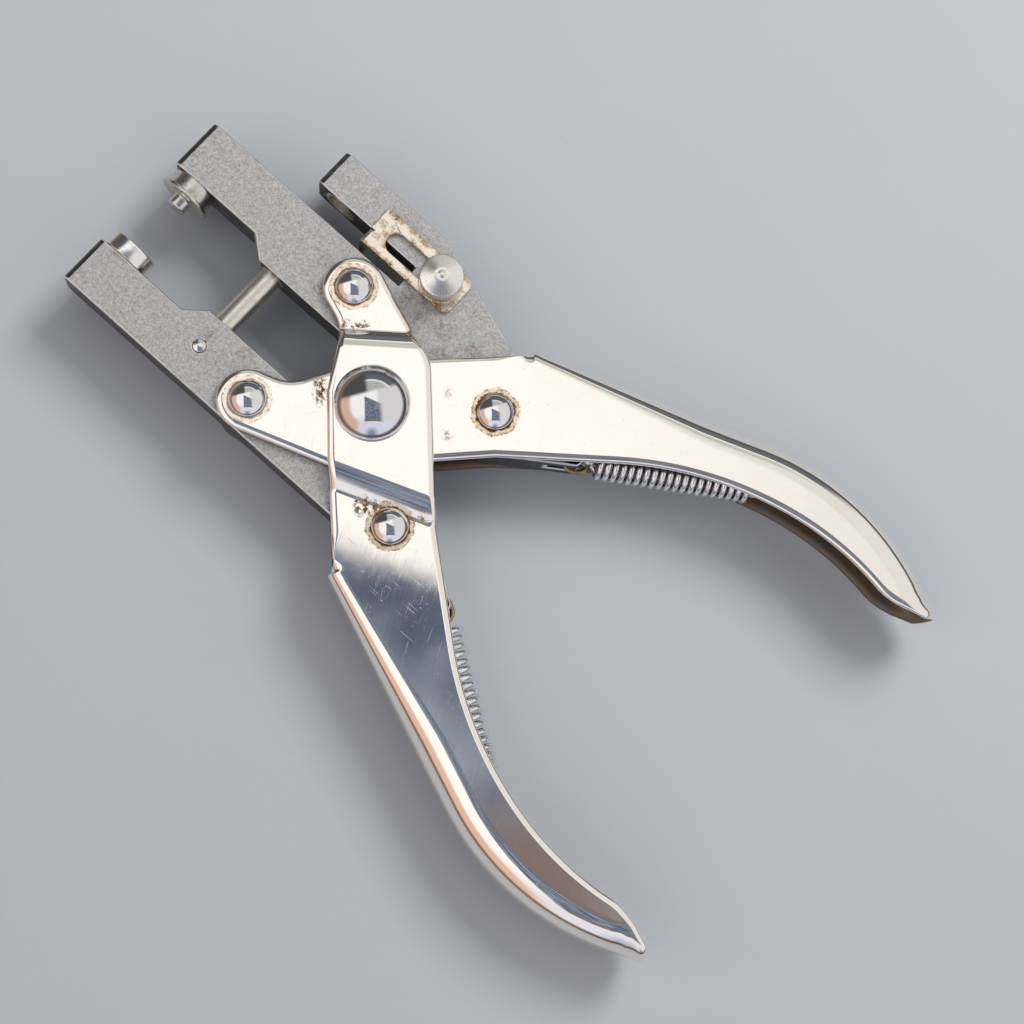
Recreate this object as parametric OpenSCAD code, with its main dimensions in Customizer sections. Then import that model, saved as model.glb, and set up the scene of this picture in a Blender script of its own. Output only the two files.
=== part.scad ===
// Parallel-action eyelet pliers with a built-in hole punch, millimetres.
// Two folded sheet-metal handles cross on one big rivet. Each handle carries one jaw
// on a fixed rivet in front and guides the other jaw with a sliding rivet behind,
// so both jaws stay parallel while they close.
// The origin is the centre of the flat lower head of the big rivet. +X points to the
// jaw noses, +Y to the straight jaw and +Z up. Everything is drawn fully open.

/* [Linkage] */
// Distance from the big rivet to each small rivet
arm_length = 22; // [20:0.5:26]
// Half angle between the handle arms when open
open_angle = 39.5; // [36:0.5:42]
// Half angle between the handle arms when closed
closed_angle = 22.7; // [22:0.1:28]

/* [Handles] */
// Thickness of the handle sheet
sheet_t = 1.6; // [1.2:0.1:2]
// Side play between neighbouring layers
side_play = 0.15; // [0.1:0.01:0.2]
// Radius of the round lobe at the front end of each handle
lobe_r = 5.6; // [5:0.1:6]
// Length of the straight part of the spine
spine_run = 46; // [40:1:50]
// Radius of the bend towards the handle tip
spine_bend_r = 50; // [45:1:60]
// Angle of the bend towards the handle tip
spine_bend = 45; // [40:1:48]
// Length of the straight end after the bend
spine_end_run = 6; // [5:0.5:8]
// Corner radius of the fold where the spine begins
fold_r = 2.6; // [2:0.1:4]

/* [Jaws] */
// Thickness of both jaw bars
jaw_t = 7.8; // [7:0.1:8.4]
// Reach of both noses ahead of their hinge rivets
nose_reach = 39.5; // [38:0.5:44]
// Edge rounding at the nose and arm ends
nose_round = 1.3; // [0.8:0.1:1.6]
// Outer edge of the forked jaw, from its rivet line
forked_outer = 6; // [5.8:0.1:6.4]
// Outer edge of the straight jaw, from its rivet line
straight_outer = 5.4; // [5.2:0.1:5.8]
// Inner edge of both noses, from the rivet line
nose_inner = 4.4; // [4:0.1:4.6]
// Inner edge of both jaws behind the step, from the rivet line
rear_inner = 7.6; // [7:0.1:7.8]

/* [Eyelet dies] */
// Distance of the die axis ahead of the hinge rivets
die_x = 34.6; // [33:0.1:35]
// Radius of the flange on the setting die
flange_r = 5.1; // [4.6:0.1:5.4]
// Radius of the setting die body
die_body_r = 4.4; // [4:0.1:4.6]
// Radius of the pilot pin
pilot_r = 1.85; // [1.6:0.05:2]
// Length of the pilot pin
pilot_length = 2.3; // [2:0.1:2.6]
// Radius of the cup die
cup_r = 4.85; // [4.6:0.05:5.2]

/* [Punch] */
// Distance of the punch axis ahead of the hinge rivets
punch_x = 13.1; // [12.8:0.1:13.6]
// Radius of the punch rod
punch_r = 2.3; // [2:0.1:2.4]
// Width of the paper gap between the forked jaw and its second arm
paper_gap = 4.6; // [4.4:0.1:5]
// Width of the second arm
arm_w = 7.8; // [7:0.1:8.4]
// Reach of the second arm ahead of the hinge rivet
arm_reach = 18.4; // [18:0.1:20]
// Distance from the hinge rivet back to the closed end of the paper gap
gap_back = 5.4; // [5:0.1:6]

/* [Gauge] */
// Width of the gauge plate
gauge_w = 8; // [7.6:0.1:8.2]
// Length of the gauge plate
gauge_length = 20.9; // [20:0.1:22]
// Thickness of the gauge plate
gauge_t = 0.9; // [0.8:0.1:1]
// Radius of the thumb screw's knurled head
knob_r = 4; // [3.8:0.1:4.2]

/* [Springs] */
// Wire diameter of the return springs
wire_d = 0.9; // [0.8:0.05:0.9]
// Coil radius at the middle of the wire
coil_r = 2.55; // [2.4:0.05:2.6]
// Distance between neighbouring coils
coil_pitch = 1.42; // [1.4:0.01:1.45]
// Number of coils in each spring
coils = 19; // [15:1:19]

/* [Hidden] */
$fn = 48;
fit_play = 0.05;
press_play = 0.02;
overcut = 0.5;
far = 200;

// Layers, counted from the middle plane of the jaws
jaw_half = jaw_t / 2;
cheek_in = jaw_half + side_play;
cheek_out = cheek_in + sheet_t;
raised_in = cheek_out + side_play;
raised_out = raised_in + sheet_t;
foot_t = 1.5;
mid_z = raised_out + foot_t;

// Places of the small rivets
hinge_x = arm_length * cos(open_angle);
hinge_y = arm_length * sin(open_angle);
slot_front = -2 * arm_length * cos(open_angle);
slot_rear = -2 * arm_length * cos(closed_angle);

// Rivet sizes
pivot_shank_r = 3;
pivot_dome_r = 6.8;
pivot_dome_h = 4.2;
foot_r = 6.4;
sleeve_r = 4;
shank_r = 2;
head_r = 3.3;
head_h = 2.2;
tail_head_r = 2.9;
tail_head_h = 0.7;

// Folds that lift the outer handle's cheeks over the inner handle's cheeks
front_fold_x = 11;
front_fold_angle = 11;
front_fold_run = 3.6;
rear_fold_x = -14.8;
rear_fold_angle = 30;
rear_fold_run = 2.6;

// Spine of the folded grip, in the handle's own frame
spine_x = -28.5;
spine_y = 12.2;
spine_heading = 198.4;
spine_length = spine_run + spine_bend_r * spine_bend * PI / 180 + spine_end_run;
full_round_at = 34;
round_max = cheek_out - 0.05;

// Open edge of the grip: straight, two bends to the same side, one back, straight
mouth_y = -8.1;
mouth_run = 15.5;
mouth_bends = [[68.3, 27], [58.1, 20], [12.1, -31]];
grip_match = [[0, 0], [46, 41], [65.6, 56], [84.5, 70], [88, 75.4], [91.3, 79.4]];
grip_stations = concat([for (s = [0:5.75:46]) s], [for (s = [50:4:82]) s],
    [84, 86, 88, 89.8, spine_length]);
corner_steps = 6;

// Jaw tails and the return springs hooked to them
tail_back = 16;
tail_out = 3.8;
tail_x = slot_front - tail_back;
tail_r = 1.5;
tail_slot_h = 2.6;
tail_pin_r = 0.85;
wire_r = wire_d / 2;
link_r = 1.9;
link_run = 0.8;
link_shift = [-0.2, 0.2];
anchor_x = -74.3;
anchor_y = -10.9;
anchor_r = 1.2;
anchor_loop_r = anchor_r + wire_r + 0.1;
hook_r = 1.05;
hook_play = 0.1;
curl_rings = 8;
loop_rings = 24;
bridge_rings = 8;
wire_sides = 6;

// Tail pin in the handle's frame, and the line from the anchor to it
tail_hx = -arm_length - tail_back * cos(open_angle) - tail_out * sin(open_angle);
tail_hy = -tail_back * sin(open_angle) + tail_out * cos(open_angle);
link_angle = atan2(tail_hy - anchor_y, tail_hx - anchor_x);
link_rear = link_shift[0] - link_run - link_r;
hook_px = tail_hx + link_rear * cos(link_angle) - link_shift[1] * sin(link_angle);
hook_py = tail_hy + link_rear * sin(link_angle) + link_shift[1] * cos(link_angle);
spring_angle = atan2(hook_py - anchor_y, hook_px - anchor_x);
spring_length = norm([hook_px - anchor_x, hook_py - anchor_y]);
last_part_curl = 0.75;
coil_end = spring_length - 1.75;
coil_start = coil_end - (coils + last_part_curl) * coil_pitch;
hook_s = spring_length - hook_play;

// Gauge
gauge_front = 5.4;
gauge_y = -11.35;
gauge_play = 0.05;
gauge_slot_w = 4;
screw_x = -10.8;
screw_y = -11.2;
screw_r = 1.75;
washer_t = 0.7;
lip_inner = -7.35;
lip_play = 0.3;
lip_depth = 7.3;

// Punch
gap_outer = -forked_outer - paper_gap;
arm_outer = gap_outer - arm_w;
bush_r = 3.2;
rod_rest_end = -forked_outer + 0.5;
rod_root = -1.1;
cross_pin_r = 1.2;
cross_pin_y = 1.6;
die_stem_r = 2.5;
die_stem_length = 7;
die_body_h = 2.7;
die_flange_h = 0.8;
cup_h = 3.1;
cup_bore_r = 2.1;
cup_groove_r = 3.2;

// Frames

module at_middle() {
    translate([0, 0, mid_z]) children();
}

// +X of a handle's frame points to the rivet in its front lobe, +Y to its spine
module outer_handle_frame() {
    at_middle() rotate([0, 0, -open_angle]) children();
}

module inner_handle_frame() {
    at_middle() mirror([0, 1, 0]) rotate([0, 0, -open_angle]) children();
}

// A jaw's frame starts at its hinge rivet, with +Y towards the other jaw
module forked_jaw_frame() {
    translate([hinge_x, -hinge_y, mid_z]) children();
}

module straight_jaw_frame() {
    translate([hinge_x, hinge_y, mid_z]) mirror([0, 1, 0]) children();
}

// General shapes

function arc_points(cx, cy, r, from, to, steps) =
    [for (i = [0:steps]) let (a = from + (to - from) * i / steps) [cx + r * cos(a), cy + r * sin(a)]];

// A dome that stands on z = 0
module dome(r, h) {
    ball_r = (r * r + h * h) / (2 * h);
    intersection() {
        translate([0, 0, h - ball_r]) sphere(r = ball_r);
        cylinder(r = r + overcut, h = h + overcut);
    }
}

module flat_head(r, h) {
    cylinder(r = r, h = h * 0.6);
    translate([0, 0, h * 0.6]) cylinder(r1 = r, r2 = r - h * 0.4, h = h * 0.4);
}

// A rivet with a dome on top and a flat head below
module small_rivet() {
    color("gainsboro") {
        cylinder(r = shank_r, h = 2 * cheek_out, center = true);
        translate([0, 0, cheek_out]) dome(head_r, head_h);
        mirror([0, 0, 1]) translate([0, 0, cheek_out]) flat_head(tail_head_r, tail_head_h);
    }
}

// Root: the big rivet and its sleeve

module main_pivot_rivet() {
    color("gainsboro") at_middle() {
        cylinder(r = pivot_shank_r, h = 2 * raised_out, center = true);
        translate([0, 0, raised_out]) dome(pivot_dome_r, pivot_dome_h);
        mirror([0, 0, 1]) translate([0, 0, raised_out]) flat_head(foot_r, foot_t);
    }
}

module pivot_sleeve() {
    color("dimgray") at_middle() difference() {
        cylinder(r = sleeve_r, h = 2 * jaw_half, center = true);
        cylinder(r = pivot_shank_r + press_play, h = 2 * jaw_half + overcut, center = true);
    }
}

// Handles

// Outline of one flat cheek, from the front lobe to the start of the grip
module cheek_plan() {
    polygon(concat(
        arc_points(arm_length, 0, lobe_r, -67, 118, 20),
        arc_points(14.9, 11.5, 7.7, -75, -113, 6),
        [[3.1, 7.6], [-7.6, 9], [-26.2, 10.8], [spine_x, spine_y - fold_r]],
        [[spine_x, mouth_y], [-21.5, mouth_y]],
        arc_points(5.2, -3.6, 7.8, -98, -67, 4)
    ));
}

module cheek_bores() {
    translate([0, 0, -far / 2]) {
        cylinder(r = pivot_shank_r + fit_play, h = far);
        translate([arm_length, 0, 0]) cylinder(r = shank_r + press_play, h = far);
        translate([-arm_length, 0, 0]) cylinder(r = shank_r + press_play, h = far);
    }
}

module flat_cheek() {
    translate([0, 0, cheek_in]) linear_extrude(height = sheet_t) cheek_plan();
}

// Everything on one side of a slope that falls from z_high to z_low over its run.
// It starts at a line that crosses the x axis at x, and falls towards +X for way = 1
module beyond_slope(x, angle, run, way, z_high, z_low, side) {
    over = overcut * run / (z_high - z_low);
    high = [-way * over, z_high + overcut];
    low = [way * (run + over), z_low - overcut];
    translate([x, 0, 0]) rotate([0, 0, -angle]) rotate([90, 0, 0])
        linear_extrude(height = far, center = true)
            polygon([high, low, [side * far, low[1]], [side * far, high[1]]]);
}

module front_slope(z_high, z_low, side) {
    beyond_slope(front_fold_x, front_fold_angle, front_fold_run, 1, z_high, z_low, side);
}

module rear_slope(z_high, z_low, side) {
    beyond_slope(rear_fold_x, rear_fold_angle, rear_fold_run, -1, z_high, z_low, side);
}

// The outer handle's cheek rises over the inner handle's around the big rivet
module lifted_cheek() {
    difference() {
        translate([0, 0, cheek_in]) linear_extrude(height = raised_out - cheek_in) cheek_plan();
        intersection() {
            translate([-far / 2, -far / 2, cheek_out]) cube(far);
            union() {
                front_slope(raised_out, cheek_out, 1);
                rear_slope(raised_out, cheek_out, -1);
            }
        }
        intersection() {
            translate([-far / 2, -far / 2, raised_in - far]) cube(far);
            front_slope(raised_in, cheek_in, -1);
            rear_slope(raised_in, cheek_in, 1);
        }
    }
}

// Travels along a plan path: a straight run, then bends [radius, angle], then straight
function advance(at, heading, length) = at + length * [cos(heading), sin(heading)];
function bend_side(angle) = angle > 0 ? 90 : -90;
function along_bend(at, heading, r, turn) =
    let (centre = advance(at, heading + bend_side(turn), r))
    advance(centre, heading + bend_side(turn) + 180 + turn, r);
function bend_length(bend) = bend[0] * abs(bend[1]) * PI / 180;
function path_point(at, heading, bends, s, i = 0) =
    i >= len(bends) || s <= 0 ? advance(at, heading, s) :
    let (length = bend_length(bends[i]), r = bends[i][0], turn = bends[i][1])
    s <= length ? along_bend(at, heading, r, turn * s / length) :
    path_point(along_bend(at, heading, r, turn), heading + turn, bends, s - length, i + 1);
function run_then_path(at, heading, run, bends, s) =
    s <= run ? advance(at, heading, s) : path_point(advance(at, heading, run), heading, bends, s - run);

function spine_point(s) =
    run_then_path([spine_x, spine_y], spine_heading, spine_run, [[spine_bend_r, spine_bend]], s);
function mouth_point(s) = run_then_path([spine_x, mouth_y], 180, mouth_run, mouth_bends, s);

// The fold's corner radius grows until the spine is a full half round
function corner_r(s) = min(round_max, fold_r + (round_max - fold_r) * s / full_round_at);

// One closed ring of the U-shaped sheet, in the upright plane through spine and mouth
function grip_ring(s) =
    let (
        from = spine_point(s),
        to = mouth_point(lookup(s, grip_match)),
        depth = norm(to - from),
        inward = (to - from) / depth,
        r = corner_r(s),
        turn = depth > r ? 90 : acos(1 - depth / r),
        share = depth > r ? 1 : corner_steps / (corner_steps + 1),
        side = function (radius) concat(
            [for (i = [0:corner_steps]) let (a = turn * share * i / corner_steps)
                [r - radius * cos(a), cheek_out - r + radius * sin(a)]],
            [depth > r ? [depth, cheek_out - r + radius]
                : [r - radius * cos(turn), cheek_out - r + radius * sin(turn)]]
        ),
        outer = side(r),
        inner = side(r - sheet_t),
        last = corner_steps + 1,
        flat = concat(
            [for (i = [last:-1:0]) outer[i]], [for (i = [0:last]) [outer[i][0], -outer[i][1]]],
            [for (i = [last:-1:0]) [inner[i][0], -inner[i][1]]], [for (i = [0:last]) inner[i]]
        )
    )
    [for (p = flat) [from[0] + p[0] * inward[0], from[1] + p[0] * inward[1], p[1]]];

// Triangles between point i and its neighbour on ring a and the two on ring b
function quad(a, a_next, b_next, b) = [[a, b, b_next], [a, b_next, a_next]];

// Skins a list of equal rings. An end is closed by strips between points i and n - 1 - i
module skin(rings) {
    n = len(rings[0]);
    last = len(rings) - 1;
    end = last * n;
    polyhedron(
        points = [for (ring = rings) for (p = ring) p],
        faces = concat(
            [for (k = [0:last - 1]) for (i = [0:n - 1]) let (j = (i + 1) % n)
                each quad(k * n + i, k * n + j, (k + 1) * n + j, (k + 1) * n + i)],
            [for (i = [0:n / 2 - 2]) each quad(n - 1 - i, n - 2 - i, i + 1, i)],
            [for (i = [0:n / 2 - 2]) each quad(end + i, end + i + 1, end + n - 2 - i, end + n - 1 - i)]
        ),
        convexity = 6
    );
}

module grip() {
    skin([for (s = grip_stations) grip_ring(s)]);
}

module handle_sheet(lifted) {
    color("wheat") {
        difference() {
            for (side = [0, 1]) mirror([0, 0, side]) {
                if (lifted) lifted_cheek();
                else flat_cheek();
            }
            cheek_bores();
        }
        grip();
    }
}

module inner_handle() {
    inner_handle_frame() handle_sheet(false);
}

module outer_handle() {
    outer_handle_frame() handle_sheet(true);
}

module straight_jaw_hinge_rivet() {
    inner_handle_frame() translate([arm_length, 0, 0]) small_rivet();
}

module forked_jaw_slide_rivet() {
    inner_handle_frame() translate([-arm_length, 0, 0]) small_rivet();
}

module forked_jaw_hinge_rivet() {
    outer_handle_frame() translate([arm_length, 0, 0]) small_rivet();
}

module straight_jaw_slide_rivet() {
    outer_handle_frame() translate([-arm_length, 0, 0]) small_rivet();
}

// Return springs

module anchor_pin() {
    color("slategray") translate([anchor_x, anchor_y, 0])
        cylinder(r = anchor_r, h = 2 * cheek_in, center = true);
}

// An oval wire ring round the jaw's tail pin
module spring_link() {
    color("sienna") translate([tail_hx, tail_hy, 0]) rotate([0, 0, link_angle])
        translate([link_shift[0], link_shift[1], 0]) {
            rotate([0, 0, -90]) rotate_extrude(angle = 180) translate([link_r, 0]) circle(r = wire_r);
            translate([-link_run, 0, 0]) rotate([0, 0, 90])
                rotate_extrude(angle = 180) translate([link_r, 0]) circle(r = wire_r);
            for (side = [-1, 1]) translate([-link_run, side * link_r, 0]) rotate([0, 90, 0])
                cylinder(r = wire_r, h = link_run);
        }
}

function bridge(a, b, c, d, t) =
    a * pow(1 - t, 3) + 3 * b * t * pow(1 - t, 2) + 3 * c * pow(t, 2) * (1 - t) + d * pow(t, 3);

// Middle line of the wire: a loop round the anchor pin, the coils and an upright hook
rear_from = 60;
rear_to = 300;
hook_sweep = 220;
rear_leave = anchor_loop_r * [cos(rear_to), sin(rear_to), 0];
rear_way = [-sin(rear_to), cos(rear_to), 0];
rear_end_way = [sin(rear_from), -cos(rear_from), 0];
coil_first = [coil_start, 0, -coil_r];
coil_last = [coil_end, -coil_r, 0];
hook_foot = [hook_s, 0, -hook_r];
hook_end_a = -90 + hook_sweep;
hook_end = [hook_s + hook_r * cos(hook_end_a), 0, hook_r * sin(hook_end_a)];
hook_end_way = [-sin(hook_end_a), 0, cos(hook_end_a)];
rear_loop_end = [anchor_loop_r * cos(rear_from), anchor_loop_r * sin(rear_from), 0];
wire_line = concat(
    [rear_loop_end + wire_d * rear_end_way],
    [for (i = [0:loop_rings - 1]) let (a = rear_from + (rear_to - rear_from) * i / (loop_rings - 1))
        [anchor_loop_r * cos(a), anchor_loop_r * sin(a), 0]],
    [for (i = [1:bridge_rings - 1])
        bridge(rear_leave, rear_leave + 2.5 * rear_way, coil_first - [0.3, 1.6, 0], coil_first,
            i / bridge_rings)],
    [for (i = [0:(coils + last_part_curl) * curl_rings]) let (a = -90 + 360 * i / curl_rings)
        [coil_start + coil_pitch * i / curl_rings, coil_r * cos(a), coil_r * sin(a)]],
    [for (i = [1:bridge_rings - 1])
        bridge(coil_last, coil_last + [0.3, 0.4, -2], hook_foot - [1.5, 0, 0], hook_foot,
            i / bridge_rings)],
    [for (i = [0:loop_rings - 1]) let (a = -90 + hook_sweep * i / (loop_rings - 1))
        [hook_s + hook_r * cos(a), 0, hook_r * sin(a)]],
    [hook_end + wire_d * hook_end_way]
);

function unit(v) = v / norm(v);
function flattened(v, way) = unit(v - (v * way) * way);
wire_last = len(wire_line) - 1;
wire_ways = [for (i = [0:wire_last])
    unit(wire_line[min(i + 1, wire_last)] - wire_line[max(i - 1, 0)])];
wire_sideways = [for (i = 0, v = flattened([0, 0, 1], wire_ways[0]); i <= wire_last;
    i = i + 1, v = i <= wire_last ? flattened(v, wire_ways[i]) : v) v];

// Least gap of the wire to itself, between points that lie further apart along it than this
gap_skip = 4;
wire_along = [for (i = 0, l = 0; i <= wire_last;
    i = i + 1, l = l + (i <= wire_last ? norm(wire_line[i] - wire_line[i - 1]) : 0)) l];
least_gap = min([for (i = [0:wire_last]) for (j = [i + 1:wire_last])
    if (wire_along[j] - wire_along[i] > gap_skip) norm(wire_line[i] - wire_line[j])]) - wire_d;

module return_spring() {
    color("silver") translate([anchor_x, anchor_y, 0]) rotate([0, 0, spring_angle])
        skin([for (i = [0:wire_last]) let (u = wire_sideways[i], v = cross(wire_ways[i], u))
            [for (k = [0:wire_sides - 1]) let (a = 360 * k / wire_sides)
                wire_line[i] + wire_r * (cos(a) * u + sin(a) * v)]]);
}

module inner_spring_anchor_pin() {
    inner_handle_frame() anchor_pin();
}

module outer_spring_anchor_pin() {
    outer_handle_frame() anchor_pin();
}

module inner_return_spring() {
    inner_handle_frame() return_spring();
}

module outer_return_spring() {
    outer_handle_frame() return_spring();
}

module inner_spring_link() {
    inner_handle_frame() spring_link();
}

module outer_spring_link() {
    outer_handle_frame() spring_link();
}

// Jaws, each in its own frame

// Side view of a bar whose front end has rounded edges, from x = back to x = front
module bar_profile(back, front, edge_r) {
    translate([0, far / 2, 0]) rotate([90, 0, 0]) linear_extrude(height = far) {
        translate([back, -jaw_half]) square([front - back - edge_r, jaw_t]);
        translate([back, -jaw_half + edge_r]) square([front - back, jaw_t - 2 * edge_r]);
        for (side = [-1, 1]) translate([front - edge_r, side * (jaw_half - edge_r)]) circle(r = edge_r);
    }
}

// The edge behind the slide rivet runs down to the tail pin
module jaw_plan(outer) {
    difference() {
        union() {
            polygon([
                [nose_reach, -outer], [nose_reach, nose_inner], [20, nose_inner], [16.2, rear_inner],
                [-14, rear_inner], [slot_front - 3.2, rear_inner - 0.4], [slot_front - 9.6, 2.5],
                [tail_x + tail_r * cos(135), -tail_out + tail_r * sin(135)],
                [tail_x, -tail_out - tail_r], [slot_front - 4, -outer]
            ]);
            translate([tail_x, -tail_out]) circle(r = tail_r);
        }
        sleeve_notch();
    }
}

// Room for the sleeve, which swings towards the jaw while it closes
module sleeve_notch() {
    room = sleeve_r + 0.5;
    near = [slot_rear / 2, arm_length * sin(closed_angle)];
    away = [slot_front / 2, arm_length * sin(open_angle)];
    translate(near) {
        circle(r = room);
        rotate(atan2(away[1] - near[1], away[0] - near[0])) translate([0, -room])
            square([3 * room, 2 * room]);
    }
}

module rivet_slot() {
    for (x = [slot_front + fit_play, slot_rear - fit_play]) translate([x, 0, 0])
        cylinder(r = shank_r + fit_play, h = far, center = true);
    translate([slot_rear, -shank_r - fit_play, -far / 2])
        cube([slot_front - slot_rear, 2 * (shank_r + fit_play), far]);
}

module tail_cuts() {
    translate([tail_x - far, -far / 2, -tail_slot_h / 2]) cube([far + 3.4, far, tail_slot_h]);
    translate([tail_x, -tail_out, 0]) cylinder(r = tail_pin_r + press_play, h = far, center = true);
}

module cross_bore(x, r, from, to) {
    translate([x, from, 0]) rotate([-90, 0, 0]) cylinder(r = r, h = to - from);
}

// Second arm of the forked jaw and the root that joins it to the bar
module arm_plan() {
    bend_x = -3.5;
    bend_r = 14;
    back_angle = 18;
    back_x = -30.1;
    bend_end = [bend_x - bend_r * sin(back_angle), arm_outer + bend_r * (1 - cos(back_angle))];
    polygon(concat(
        [[arm_reach, arm_outer], [arm_reach, gap_outer], [-gap_back, gap_outer], [-gap_back, -forked_outer]],
        [[-gap_back, 0], [slot_front + 6, 0], [slot_front, -forked_outer]],
        [[back_x - 1, -8.6], [back_x, bend_end[1] + (bend_end[0] - back_x) * tan(back_angle)]],
        arc_points(bend_x, arm_outer + bend_r, bend_r, -90 - back_angle, -90, 5)
    ));
}

module forked_jaw() {
    color("gray") forked_jaw_frame() difference() {
        union() {
            intersection() {
                translate([0, 0, -jaw_half]) linear_extrude(height = jaw_t) jaw_plan(forked_outer);
                bar_profile(-far, nose_reach, nose_round);
            }
            intersection() {
                translate([0, 0, -jaw_half]) linear_extrude(height = jaw_t) difference() {
                    arm_plan();
                    sleeve_notch();
                }
                bar_profile(-far, arm_reach, nose_round);
            }
        }
        cylinder(r = shank_r + fit_play, h = far, center = true);
        rivet_slot();
        tail_cuts();
        cross_bore(punch_x, punch_r + fit_play, -forked_outer - 1, rear_inner + 1);
        cross_bore(punch_x, bush_r + press_play, arm_outer - 1, gap_outer + 1);
        cross_bore(die_x, die_stem_r + press_play, nose_inner - die_stem_length, nose_inner + 1);
        translate([screw_x, screw_y, 0]) cylinder(r = screw_r + press_play, h = far, center = true);
    }
}

module straight_jaw() {
    color("gray") straight_jaw_frame() difference() {
        intersection() {
            translate([0, 0, -jaw_half]) linear_extrude(height = jaw_t) jaw_plan(straight_outer);
            bar_profile(-far, nose_reach, nose_round);
        }
        cylinder(r = shank_r + fit_play, h = far, center = true);
        rivet_slot();
        tail_cuts();
        cross_bore(punch_x, punch_r + press_play, rod_root, rear_inner + 1);
        cross_bore(die_x, die_stem_r + press_play, nose_inner - die_stem_length, nose_inner + 1);
        translate([punch_x, cross_pin_y, 0])
            cylinder(r = cross_pin_r + press_play, h = far, center = true);
    }
}

module tail_pin() {
    color("slategray") translate([tail_x, -tail_out, 0])
        cylinder(r = tail_pin_r, h = jaw_t, center = true);
}

module forked_jaw_tail_pin() {
    forked_jaw_frame() tail_pin();
}

module straight_jaw_tail_pin() {
    straight_jaw_frame() tail_pin();
}

// Eyelet dies, turned about an axis that points to the other jaw

module die_axis() {
    translate([die_x, nose_inner, 0]) rotate([-90, 0, 0]) children();
}

module setting_die() {
    flange_z = die_body_h + die_flange_h;
    color("lightgray") forked_jaw_frame() die_axis() {
        translate([0, 0, -die_stem_length]) cylinder(r = die_stem_r, h = die_stem_length);
        cylinder(r = die_body_r, h = die_body_h);
        translate([0, 0, die_body_h]) cylinder(r = flange_r, h = die_flange_h);
        translate([0, 0, flange_z]) cylinder(r = pilot_r, h = pilot_length);
    }
}

module cup_die() {
    groove_depth = 0.8;
    color("lightgray") straight_jaw_frame() die_axis() difference() {
        union() {
            translate([0, 0, -die_stem_length]) cylinder(r = die_stem_r, h = die_stem_length);
            cylinder(r = cup_r, h = cup_h);
        }
        translate([0, 0, cup_h - groove_depth]) cylinder(r = cup_groove_r, h = groove_depth + overcut);
        translate([0, 0, -1]) cylinder(r = cup_bore_r, h = cup_h + 1);
    }
}

// Punch

module punch_rod() {
    color("darkkhaki") straight_jaw_frame() difference() {
        cross_bore(punch_x, punch_r, rod_root + fit_play, 2 * hinge_y - rod_rest_end);
        translate([punch_x, cross_pin_y, 0])
            cylinder(r = cross_pin_r + press_play, h = far, center = true);
    }
}

module punch_cross_pin() {
    color("silver") straight_jaw_frame() translate([punch_x, cross_pin_y, 0])
        cylinder(r = cross_pin_r, h = jaw_t, center = true);
}

module punch_die_bush() {
    color("darkkhaki") forked_jaw_frame() difference() {
        cross_bore(punch_x, bush_r, arm_outer, gap_outer);
        cross_bore(punch_x, punch_r + fit_play, arm_outer - 1, gap_outer + 1);
    }
}

// Depth gauge on the forked jaw's second arm

module gauge_plan() {
    corner = 1.5;
    back = gauge_front - gauge_length;
    side = gauge_w / 2;
    polygon(concat(
        [[gauge_front, -side], [gauge_front, side]],
        arc_points(back + corner, side - corner, corner, 90, 180, 5),
        arc_points(back + corner, corner - side, corner, 180, 270, 5)
    ));
}

module gauge_slot() {
    front = -0.2;
    back = screw_x - 0.4;
    translate([back, screw_y - gauge_slot_w / 2, 0]) cube([front - back, gauge_slot_w, 2 * gauge_t]);
    for (x = [front, back]) translate([x, screw_y, 0]) cylinder(r = gauge_slot_w / 2, h = 2 * gauge_t);
}

module gauge_plate() {
    plate_z = jaw_half + gauge_play;
    lip_w = lip_inner - gap_outer - lip_play;
    color("burlywood") forked_jaw_frame() {
        difference() {
            translate([0, gauge_y, plate_z]) linear_extrude(height = gauge_t) gauge_plan();
            translate([0, 0, plate_z - gauge_t / 2]) gauge_slot();
        }
        translate([gauge_front - gauge_t, lip_inner - lip_w, plate_z + gauge_t - lip_depth - gauge_t])
            cube([gauge_t, lip_w, lip_depth + gauge_t]);
    }
}

module gauge_washer() {
    washer_z = jaw_half + 2 * gauge_play + gauge_t;
    color("tan") forked_jaw_frame() translate([screw_x, screw_y, washer_z]) difference() {
        cylinder(r = knob_r, h = washer_t);
        translate([0, 0, -overcut]) cylinder(r = screw_r + fit_play, h = washer_t + 2 * overcut);
    }
}

// Threaded shank, flange, neck and a wide head with a shallow cone on top
module thumb_screw() {
    flange_z = jaw_half + 3 * gauge_play + gauge_t + washer_t;
    flange_r = 3.3;
    flange_h = 0.8;
    neck_r = 2.6;
    neck_h = 1;
    head_z = flange_z + flange_h + neck_h;
    rim_h = 2.4;
    rim_step = 0.3;
    cone_h = 0.9;
    cone_tip_r = 0.4;
    color("linen") forked_jaw_frame() translate([screw_x, screw_y, 0]) {
        translate([0, 0, -jaw_half]) cylinder(r = screw_r, h = flange_z + jaw_half);
        translate([0, 0, flange_z]) cylinder(r = flange_r, h = flange_h);
        translate([0, 0, flange_z + flange_h]) cylinder(r = neck_r, h = neck_h);
        translate([0, 0, head_z]) cylinder(r = knob_r, h = rim_h);
        translate([0, 0, head_z + rim_h]) cylinder(r1 = knob_r - rim_step, r2 = cone_tip_r, h = cone_h);
    }
}

echo(least_spring_gap = least_gap);

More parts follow.
